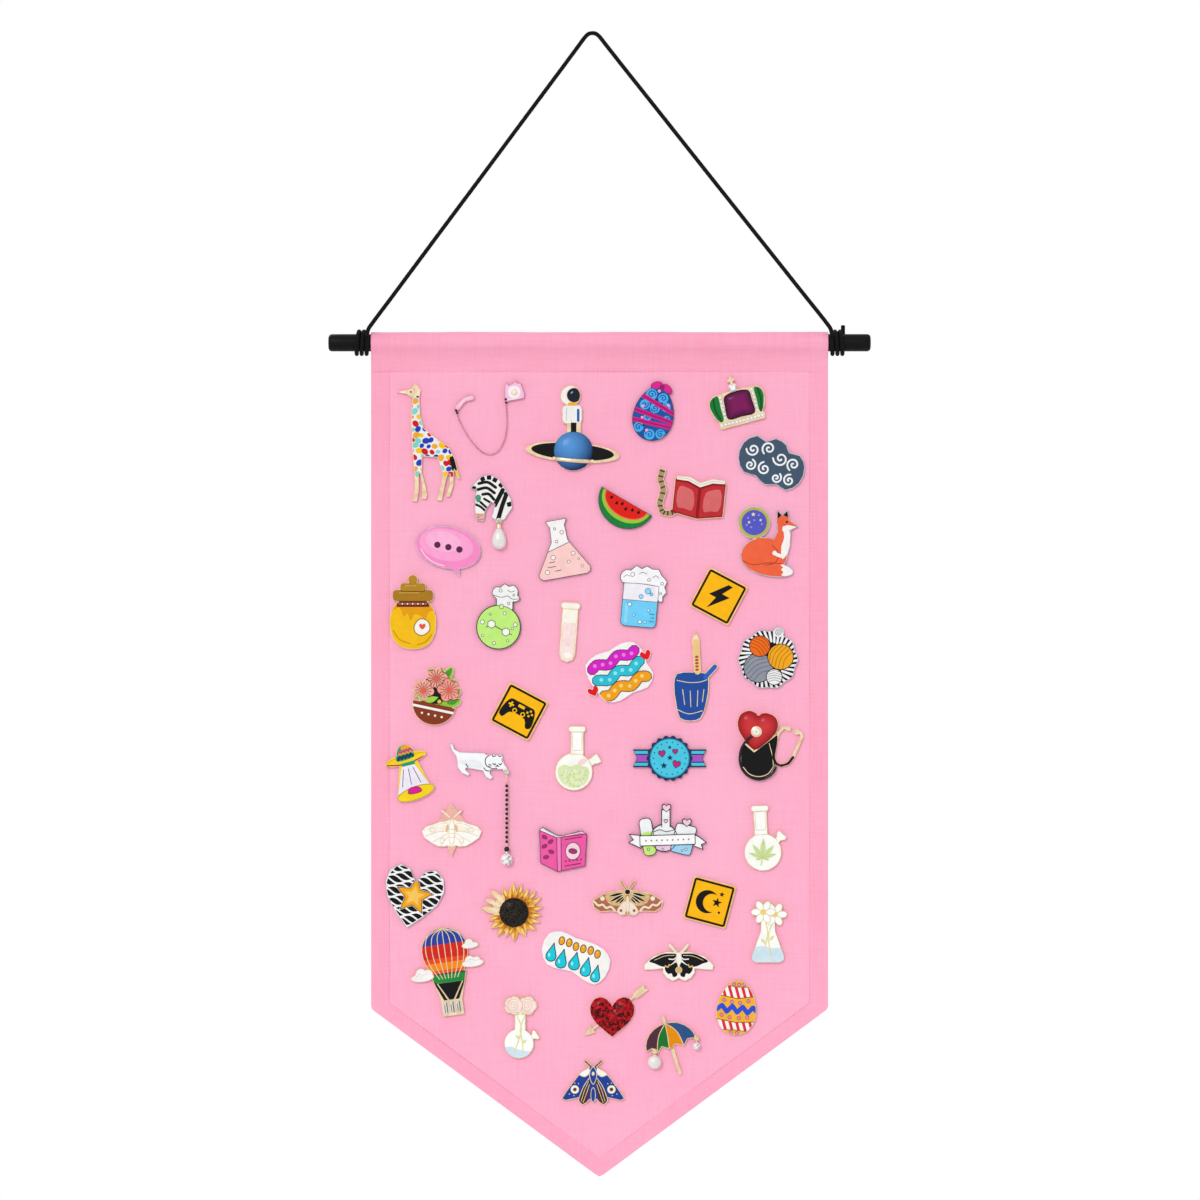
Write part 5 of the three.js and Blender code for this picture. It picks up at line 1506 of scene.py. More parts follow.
hat = soft([(-8.5, 7.2), (-8.2, 13), (-6.3, 16.8), (-3.8, 18), (-0.9, 17.4), (1.6, 15.2), (3.2, 10.9),
            (-2.4, 8)])
badge("saucer", [
    ("#f5d51b", PLATE),
    ("#d6b211", *curves(0.5, [(-15, 5.4), (-9, 9), (-4, 11)], [(3, 12), (8, 13), (10.6, 13)])),
    ("#c02a50", *curves(0.9, [(-14.6, 4.2), (-6, 4.6), (2, 7), (9.4, 10.6)])),
    ("#1f9d6b", [(-5.2, 5.4), (3.8, 8), (3.4, 5.2), (-4.6, 2.8)]),
    ("#1f9d6b", hat),
    ("#f0a31d", *line(zigzag(16.4, 2.6), 1.2)),
    ("#d2357e", *line(zigzag(13.9, 4.6), 1)),
    ("#f0a31d", *line(zigzag(12.4, 4.8), 0.7)),
    ("#123f55", *line(zigzag(10.2, 5), 1.8)),
    ("#efe9f7", [(-5, 3.4), (3.4, 5.4), (14, -8.8), (-7.2, -15)]),
    ("#4c4653", *lines(0.45, [(-3.9, 1.6), (-4.4, -9.8)], [(-0.6, 2.2), (1.4, -8)],
                       [(2.4, 3.2), (7.6, -6.6)])),
    *lined("#f5d51b", "#9a7d0a", 0.4, oval(4.4, -13.6, 12.6, 4.2, 20, 36)),
    *lined("#dc1f90", "#7c1150", 0.4, soft([(-0.6, -14), (0, -11), (3, -9.6), (6.6, -9.8), (8.2, -12),
                                            (4.4, -13.8)])),
], 0.3)

badge("cat", [
    ("#f8f9fb", PLATE),
    # A greyer patch on the belly: painted shade
    ("#eceef1", soft([(-12, -0.6), (-6, 1), (0, 0), (3, -3), (0, -4.8), (-7, -4)])),
    (INK, *curves(0.55, [(7, 3.7), (4.9, 2.2), (4.2, -0.4), (5.2, -3), (7.4, -4.4)],
                  [(9, 4.6), (9.4, 3), (11, 3.4)])),
    (INK, *curves(0.5, [(13, 3.4), (14.4, 3), (15.1, 4.2)], [(7.4, -4.4), (9.6, -5), (12, -4.8)])),
    (INK, *curves(0.6, [(9.4, -1.6), (10.3, -2.4), (11.2, -1.8)],
                  [(13.2, -1.8), (14.1, -2.4), (15, -1.6)])),
    (INK, oval(12.2, -2.9, 0.6, 0.4, 0, 12), *curves(0.4, [(11, -3.7), (12.2, -3.3), (13.4, -3.7)])),
    (INK, *lines(0.35, [(15.2, 1.6), (15.5, -0.6)], [(8.2, -2.6), (6.4, -2.2)],
                 [(8.2, -3.2), (6.6, -3.4)])),
    (INK, *curves(0.5, [(-8.4, -1.8), (-7.6, -3.2), (-7, -4)], [(3.4, -4.4), (4.6, -6), (6.6, -6.6)])),
    ("#f2b8b4", [(9, 4.5), (9.3, 3.5), (10, 3.7)], [(14.9, 4.2), (14, 3.4), (14.9, 3.2)]),
], 0.3)

mottles = []
for i in range(46):
    u, v = polar(1.3 * math.sqrt(i), 137.5 * i)
    mottles.append(oval(u, min(v, 2.4) - 1.6, 1.1, 0.55, 57 * i, 8))
badge("round_flask", [
    ("#fbfaf3", PLATE),
    ("gold", *edges(0.35, block(2.2, 20, 6.2, 12, 0.4))),
    ("#fdfcf8", block(2.2, 20, 5.8, 11.6, 0.4)),
    ("#dbe7b2", soft([(-10, 2.4), (-6, 4.6), (-2, 3.4), (2, 4.8), (6, 3.6), (9.6, 2.4), (10, -3),
                      (6.6, -8.4), (0, -10.6), (-6.6, -8.4), (-10, -3)])),
    ("#c8d994", *mottles[::2]),
    ("#e9f0cd", *mottles[1::2]),
    ("#f7d8d6", oval(5.6, 6.6, 3.2, 1.6, 30)),
    ("gold", *curves(0.4, [(11.7, 3.5), (11, 5.4), (9.2, 8)], [(-2.4, 11.6), (6.4, 11.4)],
                     [(-3.4, 26.2), (7.8, 26.2)])),
], 0.5)

badge("rosette", [
    ("#17355f", PLATE),
    ("#43c4dd", *[block(side * 19, v, 13, 1.9) for side in (1, -1) for v in (3.9, -3.9)]),
    ("#a755c0", *[block(side * 19, 0, 13, 4.4) for side in (1, -1)]),
    ("#17355f", bloom(0, 0, 15.2, 13.8, 18)),
    ("#2c9fbd", disc(0, 0, 13, 44)),
    ("#4ac7e2", disc(0, 0, 12.3, 44)),
    ("#17355f", *dots(0.45, 8, *[polar(10.6, 20 * i) for i in range(18)])),
    *lined("#c9207a", "#17355f", 0.45, heart(-5, 3, 4.4, 4.2, 10), heart(4.4, -4, 5, 4.8, -12),
           heart(3.6, 4.4, 3.4, 3.2)),
    ("#17355f", star(-3.8, -4.8, 2.4, 1), star(0.2, 0.4, 2, 0.9), star(0, 7.2, 1.4, 0.6)),
], 0.25)

tilted_heart = soft([(-0.2, 19.4), (2.4, 21), (7, 20.8), (11.5, 18), (13, 13.4), (11.6, 8), (6, 1.8),
                     (-3, -3.8), (-9, 2.4), (-13, 8.6), (-14.2, 14.4), (-12.4, 20), (-7, 22.8),
                     (-2.6, 21.6)])
badge("stethoscope", [
    (BLACK, soft([(-9.4, 2), (-11.6, -8), (-10.2, -16.4), (-5.3, -20.8), (0.7, -22.2), (6.7, -19.8),
                  (10.2, -14.4), (10.6, -7), (12, 1), (11.8, 6.8), (4, 4)])),
    ("gold", *curves(0.55, [(-10.2, -14.6), (-6, -19.2), (0.4, -20.8), (6, -19), (9.4, -14.6)])),
    ("gold", *lines(1.1, [(-9.6, 1.4), (-3, -4.3), (11.9, 7.2)])),
    ("gold", *curves(0.45, [(6.8, 1), (9, -7.6), (9.6, -14)])),
    (INK, *curves(1.8, [(9.6, -3.4), (9.9, -9), (11.6, -12.4), (14.5, -13.6), (19.4, -12.1),
                        (22.4, -8.2)])),
], 0.15)
# The heart is lighter at its crown and darker at its edge: painted light and shade
puff("red_heart", "stethoscope", shifted(tilted_heart, 0, 0.3, 0, 0.97), 3.8, 9, ("#d2383d", "#a0121c"))
tube_route = [(11.4, -14), (9.9, -17.6), (6.6, -20.7), (1.4, -22.7), (-3, -22.2), (-7.6, -19.9),
              (-11.2, -15.4), (-12.5, -10), (-12.3, -6), (-11, -1.4), (-8.6, 2.4), (-5.4, 5.4), (-3.8, 7)]
tube_path = spaced(through(tube_route), 0.8)
put = place("stethoscope")
tube = [put(u, v, 0.5 + 3.3 * min(max((v + 3) / 8, 0), 1)) for u, v in tube_path]
build("chest_tube", "stethoscope", "black_metal", *wire(tube, 0.8, 10), ["bead"], smooth=True)
chest = [(0.3, -3.4), (3.6, -3.4), (3.7, -4.7), (3.3, -5), (2.3, -4.8), (1.9, -5.1), (1.2, -5.2),
         (0.2, -5.25)]
dial = [(0.8, -5.2), (1.2, -5.3), (2, -5.25), (2.3, -4.9)]
chest_middle = put(-1.7, 8.8, 0)
build("chest_piece", "stethoscope", "gold", *lathe(chest, 32, chest_middle, "Y"), ["gold"], smooth=True)
build("chest_dial", "stethoscope", "white_enamel", *lathe(dial, 32, chest_middle, "Y"), ["white"],
      smooth=True)

wings = flip([(0, 9.5), (4, 8), (8, 7.5), (17, 4.5), (19.8, 1.5), (18, -3), (13, -6.5), (9, -8.5),
              (5, -8.8), (2.5, -8), (0, -8.8)])
badge("white_moth", [
    ("#efb5a6", PLATE),
    *lined("#fdfcf6", "gold", 0.55, wings),
    ("#f8f1df", *both(soft([(3, 5.6), (9, 4.6), (15.4, 2.4), (13, 0), (7, 1.4), (3.4, 2.4)]))),
    ("gold", *both(*curves(0.35, [(2.4, 7), (9, 5.8), (18, 1.8)], [(2.6, 1.6), (9, 1), (17.4, -1.8)],
                           [(2.6, 0), (7, -2.6), (12.6, -5.6)], [(2.4, -2), (5, -5), (7, -8)]))),
    *lined("#fdfcf6", "gold", 0.35, *both(oval(12.4, 2.2, 1.6, 1), oval(6.4, -4.8, 1.2, 1.6, 30))),
    ("#e9b98f", *both(oval(3, 3.4, 0.8, 2.6, 10))),
    *lined("#fdfcf6", "gold", 0.4, oval(0, 0.6, 1.9, 8.2)),
    ("gold", *lines(0.3, [(-1.5, 2.6), (1.5, 2.6)], [(-1.6, 0), (1.6, 0)], [(-1.4, -2.6), (1.4, -2.6)])),
    ("#f7ecd6", *both(*line([(1.4, 10.6), (6, 14.6)], 0.8))),
], 0.4)

badge("pink_book", [
    ("#ee5aa4", PLATE),
    ("#f4f4f6", [(-15.5, 13.4), (-13, 15.2), (-4, 10), (0, 9.5), (12, 12.8), (15.9, 10.5), (12, 11.4),
                 (-3.6, 8.2), (-14.6, 13)]),
    ("#9a9aa2", *lines(0.3, [(-13.4, 14.2), (-3.8, 9), (12.6, 12)],
                       [(-12.4, 14.2), (-3.6, 9.6), (11.4, 12.2)])),
    ("#f57fba", [(-3.9, 8), (-1.2, 8.6), (-1, -13.4), (-3.5, -14)]),
    ("#5d1f3f", *lines(0.4, [(-4, 8.2), (-3.5, -14)], [(-1.2, 8.8), (-1, -13.8)],
                       [(-15, 13), (-4, 8.2), (15.5, 10.6)])),
    *lined("#a53468", "#5d1f3f", 0.3, oval(-12, 8.6, 1.8, 1.1, -30), oval(-8, 5.6, 1.8, 1.1, 40),
           oval(-12, 2.6, 1.8, 1.1, 30), oval(-7.6, -1, 1.8, 1.1, -20), oval(-11, -4.6, 1.8, 1.1, 10)),
    *lined("#f3d3e0", "#5d1f3f", 0.35, oval(6.6, -0.6, 4.8, 5.6, -8)),
    *lined("#a53468", "#5d1f3f", 0.3, oval(6.6, -0.6, 2.8, 1.7, -8)),
    ("#5d1f3f", *lines(0.35, [(1.6, 7), (12.6, 8.8)], [(1.2, -10.4), (11.6, -8.6)])),
    ("#a53468", *[disc(1.8 + 2.5 * i, -7.2 + 0.3 * i, 0.6, 10) for i in range(5)]),
], 0.35)

vial = block(-13, -2.3, 8.2, 24.6, 3, 9.5)
cup = block(10.6, -3.8, 13.6, 19.2, 2, -14)
scroll = block(0.1, -4.3, 36.2, 6.6, 0, 1.9)
badge("lab_ribbon", [
    ("#eef0f2", PLATE),
    ("#c3ee7c", shifted(block(0, -4.4, 8.2, 15.6, 2.6), -13, -2.3, 9.5)),
    ("#ecc9dd", half_disc(-2.2, -1.4, 8.8, 10.4)),
    ("#9dd3f0", shifted(block(0, -4.9, 13.4, 9.2, 1.8), 10.6, -3.8, -14)),
    (INK, *edges(0.45, vial, cup, disc(-2.2, -3, 8.8)), *edges(0.45, block(-1, 10, 5.4, 11))),
    ("#eef0f2", block(-1, 8.6, 4.8, 12)),
    (INK, *curves(0.4, [(-3.7, 4.4), (-3.7, 14)], [(1.7, 4.4), (1.7, 14)],
                  [(-9, 1), (-5, 2.4), (-1, 1.2), (4, 2.2)])),
    *lined("#f3cdd8", INK, 0.4, heart(-0.6, 16.6, 5.6, 4.8), heart(12.8, 7, 5.6, 4.8),
           heart(-1, 8, 2.6, 2.4)),
    *ringed(INK, "#eef0f2", 0.3, (-12.4, -10.4, 0.9), (12.2, -10.4, 0.9), (-3, -10.4, 0.8),
            (9.6, -11.2, 0.7)),
    *lined("#f4f5f6", INK, 0.45, [(-17, -1.4), (-24.8, -0.7), (-22.2, -4.2), (-25.3, -5.9), (-17.4, -9.6)],
           [(17.6, -0.8), (20.8, -2.3), (25.4, -5.9), (22.2, -7.2), (23.2, -10.4), (17.6, -8.2)]),
    *lined("#fafafa", INK, 0.5, scroll),
    ("#8a8d92", *[disc(-14 + 3.5 * i, -4.8 + 0.12 * i, 0.6, 10) for i in range(9)]),
], 0.25)

stem = (-0.4, -3.6)
frond_sizes = ((13, 3.7, 84), (11.2, 3.3, 44), (11.2, 3.3, 124), (9.8, 2.8, 12), (9.8, 2.8, 158),
               (5, 2, -22), (5, 2, 192))
fronds = [leaf(*stem, length, width, angle) for length, width, angle in frond_sizes]
frond_veins = [[stem, polar(0.8 * length, angle, *stem)] for length, _, angle in frond_sizes]
badge("leaf_flask", [
    ("#fbfbf6", PLATE),
    ("gold", *edges(0.35, block(-0.6, 20.6, 6.4, 12, 0.4))),
    ("#fdfdfa", block(-0.6, 20.6, 6, 11.6, 0.4)),
    ("#cfdf9f", *fronds, *line([stem, (-1.6, -8.4)], 0.9)),
    ("#b9cd83", *lines(0.3, *frond_veins)),
    ("gold", *curves(0.4, [(9.9, 7.2), (8.5, 8.7), (6.8, 10.1)], [(-5, 11.6), (3.8, 11.6)],
                     [(-6.4, 27), (5.2, 27)])),
], 0.5)

strands = []
for i in range(18):
    strands.append([(u, 20.6 - 2.4 * i + 1.4 * math.sin(0.4 * u + 1.9 * i)) for u in range(-22, 23, 2)])
badge("star_heart", [
    ("#f6f6f5", PLATE),
    (INK, heart(0, 0, 37.2, 38.4)),
    ("#f6f6f5", *lines(1.05, *strands)),
    ("#f6f6f5", star(0.6, 1, 13.6, 6.4)),
    *lined("#f2a51a", "#6b4306", 0.5, star(0.6, 1, 12.4, 5.8)),
    ("#f8c65c", star(0.6, 1, 7, 3.3)),
], 0.4)

sun_tips = (
    (11, 19.4), (29, 20.6), (44, 20.3), (58, 18.4), (75, 19.7), (92, 19.7), (115, 18), (136, 21.6),
    (155, 21.6), (172, 22.2), (197, 17.8), (214, 18.7), (235, 19.3), (251, 17.4), (269, 19.2), (296, 17.6),
    (321, 18.9), (339, 18.7), (354, 18.4))
pale_tips = sun_tips[7:10]
plain_tips = [tip for tip in sun_tips if tip not in pale_tips]
sun_rays = [petal(turn, 5, reach - 0.2, 7.2) for turn, reach in sun_tips]
creases = []
for turn, reach in plain_tips:
    for side in (-7, -2, 4, 9):
        creases.append([polar(9.4, turn + side), polar(reach - 3, turn + side / 3)])
badge("sunflower", [
    ("#dd9a26", PLATE),
    *lined("#efac37", "#bb741c", 0.3, *sun_rays[::2]),
    *lined("#f7c150", "#bb741c", 0.3, *sun_rays[1:7:2], *sun_rays[11::2]),
    *lined("#f0cfa2", "#c09a5c", 0.35, *sun_rays[7:10]),
    ("#f6e0be", *[petal(turn, 9, 18, 2.4) for turn, _ in pale_tips]),
    ("#d38e27", *lines(0.35, *creases)),
    # Darker inner halves of the petals: painted shade near the disc
    ("#b36c1e", *[petal(turn + 4, 7, 12.6, 2.4) for turn, _ in plain_tips]),
    # Light streaks near the petal tips: painted highlights
    ("#fbd98a", *[petal(turn - 1, reach - 6.4, reach - 1.4, 1.3) for turn, reach in plain_tips]),
    ("#2a1d12", disc(0, 0, 9.6, 40)),
], 0.2)
dome("flower_disc", "sunflower", 9.4, 2.6, "seeds")
put = place("sunflower")
seeds = []
for i in range(165):
    reach = 0.775 * math.sqrt(i + 0.5)
    out = max(3.35 * math.sqrt(max(1 - (reach / 9.6) ** 2, 0)) - 0.6, 0.1)
    seed_middle = put(*polar(reach, 137.508 * i), out)
    seeds.append(lathe([(0.57, 0.1), (0.5, -0.25), (0.27, -0.5), (0.05, -0.56)], 6, seed_middle, "Y"))
build("flower_seeds", "sunflower", "black_metal", *gather(seeds), ["seeds"], smooth=True)

feathers = both(leaf(2.6, 4.9, 11, 2, -13), leaf(2.5, 3.9, 11.6, 2, -28), leaf(2.2, 2.8, 8.8, 1.8, -38),
                leaf(1.8, 1.8, 6.2, 1.6, -47))
badge("brown_moth", [
    ("#b06b49", PLATE),
    ("#d9b47c", *both(soft([(1.6, 6.2), (8, 5.6), (14.6, 3.4), (13.4, -0.6), (9.4, -3.4), (2, -2)]))),
    ("#f2e2d2", *both(*curves(1.3, [(22, -0.8), (19, -3.4), (16.4, -2.8), (14, -5), (11, -4.2),
                                    (8.4, -6.6)]))),
    ("#f2e2d2", *both(disc(16.5, 1.2, 1.5, 14))),
    *lined("#f2e2d2", "gold", 0.4, *both(soft([(1.2, -0.8), (3.6, -2.2), (6.5, -6), (6.8, -8.4),
                                               (4.6, -9.3), (1.6, -8.7)]))),
    *lined(INK, "gold", 0.35, *feathers),
    ("#a2512f", *both(disc(4.3, -6.7, 0.9, 12))),
    *lined(INK, "gold", 0.5, disc(0, 5.6, 1.9)),
    *lined("#f2e2d2", "gold", 0.35, oval(0, -2.6, 1, 5.6)),
], 0.55)

badge("daisy_flask", [
    ("#fbfbf7", PLATE),
    ("#cde5f2", [(-15, -10.4), (-5, -9.6), (3, -11), (13, -10), (13, -24), (-15, -24)]),
    ("#e5dc9e", *curves(0.8, [(-2.6, 8), (-1, -2), (-3.6, -13)], [(3, 7), (-0.4, -2), (1.4, -17)])),
    ("#e5dc9e", leaf(0.4, -6, 4.6, 2, 50), leaf(-2.6, -8, 4.4, 2, 130)),
    ("#e9e2b8", *dots(0.6, 8, (-8, -14), (5.6, -13), (-5.6, -17), (6.4, -17), (-1, -18))),
    ("gold", *lines(0.35, [(-5.2, 3), (-10.4, -13)])),
    *daisy(3.8, 11.2),
    *daisy(-3.9, 12.7),
], 0.4)

rib_places = (-2.4, -1.6, -0.8, 0, 0.8, 1.6, 2.4)
ribs = [through([(0, 29), (k * 4.2, 24.6), (k * 5.2, 16), (k * 4.6, 6), (k * 2.5, -4)]) for k in rib_places]
badge("balloon", [
    ("#d3251c", PLATE),
    ("#28409f", block(0, 26, 40, 15)),
    ("#e8481c", block(0, 7.6, 40, 4)),
    ("#f28a1c", block(0, 4, 40, 5)),
    ("#e4591d", block(0, 0.6, 40, 2.2)),
    ("#3a2a52", block(0, -0.9, 40, 0.9)),
    ("#20893b", block(0, -4.1, 40, 5.6)),
    ("gold", *lines(0.55, *ribs)),
    (BARE, [(-14, -6.8), (15, -6.8), (9, -30), (-9, -30)]),
    (BLACK, [(-7.4, -6.9), (8.4, -6.9), (1.4, -18.2), (-1.4, -18.2)],
     [(-10.6, -4.6), (-8.4, -6.6), (-2.6, -18.2), (-4.9, -18.2)],
     [(12.2, -3), (9.6, -6.4), (2.6, -18.2), (5, -18.2)]),
    ("#dcd7d2", *[block(4.2 * k, -23.2, 3.2, 7.6, 0.4) for k in (-1, 0, 1)]),
    ("#77716d", *[block(4.2 * k + 0.6, -23.2, 0.8, 7) for k in (-1, 0, 1)],
     *[block(4.2 * k - 0.9, -23.8, 0.5, 5.4) for k in (-1, 0, 1)]),
    ("gold", *clouds(0)),
    ("#f6f1f1", *clouds(0.45)),
    ("#e6dddd", *curves(0.4, [(-21, -0.6), (-18.6, 1), (-16, 0), (-13, 1)],
                        [(13, 5), (16, 6.4), (19, 5), (22, 5.4)])),
], 0.4)

pearls = [(-12 + 5 * i, 7.4 + 0.5 * math.sin(2 * i)) for i in range(6)]
drips = [(-15.6, -1.6, 7, 12), (-8, -3.4, 7.4, 12.4), (0.6, -2, 7.6, 11.6), (9, -3, 7.2, 12.4),
         (16.4, -5, 6.4, 11)]
badge("bubbles", [
    (WHITE, PLATE),
    *lined("#f0a21a", "#3a2a14", 0.5, *[oval(u, v, 1.9, 2.7, 8) for u, v in pearls]),
    *lined("#17c9de", "#16303c", 0.55, *[drop_shape(u, v, w, h, 6) for u, v, w, h in drips]),
    # Light ovals on the drops and dots on the beads: painted highlights
    ("#a5f0f7", *[oval(u - 0.3 * w / 2, v - 0.2 * h, 0.7, 1.3, 20, 12) for u, v, w, h in drips]),
    ("#fbd98c", *[disc(u - 0.5, v + 1, 0.5, 10) for u, v in pearls]),
], 0.5)

badge("black_moth", [
    ("#f7f5f0", PLATE),
    (INK, *both(soft([(1.8, 5.8), (5.3, 6.2), (10, 6), (15, 4), (19.4, 1), (15.6, -0.4), (11.7, -2.2),
                      (8.6, -2.4), (5.6, -1.2), (2.4, 1.8)]))),
    (INK, *both(soft([(1.4, 0.4), (5, -1.4), (9, -2.8), (8.8, -5), (6.8, -7.2), (4.8, -6.8), (3.7, -9.2),
                      (1.2, -8.4)]))),
    ("#f7f5f0", *both(*curves(0.7, [(1.4, 3.8), (3.4, 2.4), (6.4, 2.6)]))),
    ("gold", *both(*curves(0.35, [(3, 5), (9, 4.6), (16, 1.8)]))),
    ("#d6b36c", *both(*curves(0.9, [(6.2, -1.1), (7.2, -2.7), (8.8, -1.9)]))),
    *lined("#f7f5f0", "gold", 0.4, oval(0, 3, 1.7, 4.2)),
    *lined("#d6b36c", "gold", 0.3, disc(0, -4.6, 2.1)),
    ("#ece3cc", *both(*line([(2, 7.2), (5.6, 11.2)], 1.2))),
], 0.4)

badge("rose_flask", [
    ("#fcfcf8", PLATE),
    ("#cfe5f1", [(-12, -2.6), (-5, -2), (0, -4), (6, -5), (12, -4.4), (12, -12), (-12, -12)]),
    ("#e3dfa2", *curves(0.8, [(-2, 20), (1.6, 10), (-1, 0), (-3.4, -6)],
                        [(4.6, 20), (1, 10), (2.4, 0), (2.6, -6)])),
    ("#dfe2a6", leaf(0.6, 3, 4, 1.8, 140), leaf(2, 0, 4, 1.8, 40), leaf(0.8, 19, 5, 2.4, 20),
     leaf(0.8, 19, 5, 2.4, 165)),
    ("gold", *curves(0.35, [(-2.8, 9.4), (-2.8, 19)], [(4.4, 9.4), (4.4, 19)],
                     [(9.3, 2.5), (8.6, 4.3), (7.1, 6.4)])),
    *rose(5.6, 25),
    *rose(-3.6, 25),
], 0.45)

puff("glitter_heart", "arrow_heart", heart(0, 0, 29, 25.8), 3.5, 9, "glitter", 0.9)

spokes = [through([(0, 14.6), (-5.9, 8.3), (-9.4, 0), (-9.8, -3)]),
          through([(0, 14.6), (-0.7, 5.8), (-2, -2.6)]),
          through([(0, 14.6), (3.6, 11), (6.4, 6.3), (8, -3.2)])]
badge("umbrella", [
    ("#2c5084", PLATE),
    ("#e28c0a", [*spokes[2], (-20, -4), (-20, 16), (0, 16)]),
    ("#17722a", [*spokes[1], (-20, -4), (-20, 16), (0, 16)]),
    ("#4f2a3a", [*spokes[0], (-20, -4), (-20, 16), (0, 16)]),
    (BARE, block(0.2, -11.6, 5, 17.6), block(0, 18, 4, 7)),
    ("gold", *lines(0.55, *spokes)),
], 0.45)

upper_candy = [[(-16 + 4.4 * i, 17), (-12 + 4.4 * i, 6)] for i in range(9)]
lower_candy = [[(-18 + 4.4 * i, -6), (-13 + 4.4 * i, -20)] for i in range(9)]
spots = [(-8.6, 4.4), (-3.4, 3.6), (2, 3.4), (7.4, 5), (-9.4, -5.4), (-4, -6.6), (2, -6.6), (7.6, -5.8),
         (-3, 15.4), (0.4, 15.2), (3.8, 15.4), (-2.4, -16.4), (1.6, -16.4)]
badge("striped_egg", [
    ("#f2b136", PLATE),
    ("#f6f3f0", [(-16, 8.4), (0, 6.4), (16, 9.4), (16, 15), (-16, 15)],
     [(-16, -8), (0, -10), (16, -8.4), (16, -16), (-16, -15)]),
    ("#dd2a3a", *lines(1.9, *upper_candy, *lower_candy)),
    ("#f2b136", [(-16, 20), (16, 20), (16, 14.6), (0, 13.6), (-16, 14.6)],
     [(-16, 8), (0, 6), (16, 9), (16, -8), (0, -9.6), (-16, -7.6)],
     [(-16, -20), (16, -20), (16, -15.4), (0, -14.6), (-16, -15.4)]),
    ("#7c4c12", *lines(0.4, [(-16, 14.6), (0, 13.6), (16, 14.6)], [(-16, 8), (0, 6), (16, 9)],
                       [(-16, -7.6), (0, -9.6), (16, -8)], [(-16, -15.4), (0, -14.6), (16, -15.4)])),
    ("#2a4fd0", *line([(-13, -2), (-9.6, 1), (-6.2, -3), (-2.8, 1), (0.6, -3), (4, 1), (7.4, -3), (10.8, 1),
                       (14, -2)], 3)),
    *lined("#f085c4", "#7c4c12", 0.3, *dots(1.1, 14, *spots)),
], 0.4)

badge("blue_moth", [
    ("#1c3f97", PLATE),
    ("#f6f5f1", *both(soft([(2.6, 10.6), (6.6, 8.4), (9, 6.2), (5.6, 5.2), (2.8, 7)]))),
    ("#4a2724", *both(soft([(2.2, 3), (4.4, 0), (8.4, -7), (8.6, -11.6), (6.8, -13), (4.6, -11.6),
                            (3, -7)]))),
    ("gold", *both(*curves(0.5, [(2.4, 7), (5.6, 5), (9.4, 6.4)], [(2.6, 4), (6, -1), (9.4, -9.4)]))),
    ("gold", *both(*curves(0.4, [(2.4, 0), (4, -5), (6.6, -12)], [(3, 2), (5.6, -4), (7.8, -11)]))),
    *lined("#f6f5f1", "gold", 0.4, *both(disc(12, -3.4, 2.6))),
    *lined("#5a2f2a", "gold", 0.35, *both(disc(12, -3.4, 1.3, 16))),
    ("gold", *both(*dots(0.4, 8, (9.6, 0.4), (12, 0.8), (14.4, -0.6), (15.6, -6.4), (12.6, -7.4)))),
    *lined("#1c3f97", "gold", 0.5, soft([(0, 11.6), (2.2, 8), (1.8, 3), (0, 0), (-1.8, 3), (-2.2, 8)])),
    *lined("#f1e7c8", "gold", 0.3, oval(0, 7, 0.8, 1.2)),
    *lined("#1c3f97", "gold", 0.4, oval(0, -7, 1.5, 4.8)),
    ("#6a4a1a", *both(*line([(1.6, 11.8), (5, 14.8)], 0.7))),
], 0.5)


# The planet's ring, where it passes in front

put = place("astronaut")
verts = []
for i in range(41):
    u = -13.4 + 26.8 * i / 40
    low = -0.9 - 6.7 * math.sqrt(1 - (u / 31) ** 2) - 0.078 * u
    over = max(1 - (u / 12.9) ** 2 - ((low + 1.6) / 12.9) ** 2, 0)
    out = max(5 * math.sqrt(over) - 0.3, 0.3)
    for dv, lift in ((-0.1, -0.5), (0.2, 0.15), (2.2, 0.15), (2.5, -0.5)):
        verts.append(put(u, low + dv, out + lift))
faces = turned_over(grid(41, 4, closed=False))
build("ring_front", "astronaut", "gold", verts, faces, ["gold"], smooth=True)


# Drops and chains. Heights are from the middle of the eye that hangs on a pin's stud

FLAT_BACK = (0.9, 0.5)


def hung(pin, u, v):
    """The middle of the eye on a pin's stud."""
    return place(pin)(u, v, 0.8)


def eye_ring(middle):
    turns = [2 * math.pi * i / 24 for i in range(25)]
    return wire([middle + Vector((1.45 * math.cos(t), 0, 1.45 * math.sin(t))) for t in turns], 0.42)


def pearl(name, pin, u, v, profile, cap):
    """A pearl that hangs from a stud by a gold eye and cap."""
    body = pin + "_pearl"
    middle = hung(pin, u, v)
    metal = gather([eye_ring(middle), lathe(cap, 20, middle, "Z", FLAT_BACK)])
    build(name + "_fitting", body, "gold", *metal, ["gold"], smooth=True)
    stone = build(name, body, "pearl", *lathe(profile, 36, middle, "Z", (0.85, 0.5)), ["pearl"], smooth=True)
    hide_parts(body)


def globe(level, radius, steps=14):
    turns = [math.pi * (i / steps - 0.5) for i in range(steps + 1)]
    return [(max(radius * math.cos(t), 0.02), level + radius * math.sin(t)) for t in turns]


def faceted(name, body, middle, level, radius, squash):
    """A cut crystal ball, its facets painted lighter and darker in turn as painted reflections."""
    cuts = ((0.35, -0.94), (0.8, -0.6), (1, 0), (0.8, 0.6), (0.35, 0.94))
    profile = [(reach * radius, level + rise * radius) for reach, rise in cuts]
    verts, faces = lathe(profile, 10, middle, "Z", squash)
    split = []
    for face in faces:
        split.extend([(face[0], face[1], face[2]), (face[0], face[2], face[3])] if len(face) == 4 else [face])
    painted_facet_light = (1, 0.55, 0.86, 0.34, 0.95, 0.7, 0.9)
    tints = [[painted_facet_light[(5 * i + i // 3) % 7]] * 3 for i in range(len(split))]
    return build(name, body, "crystal", verts, split, ["crystal"], tints)


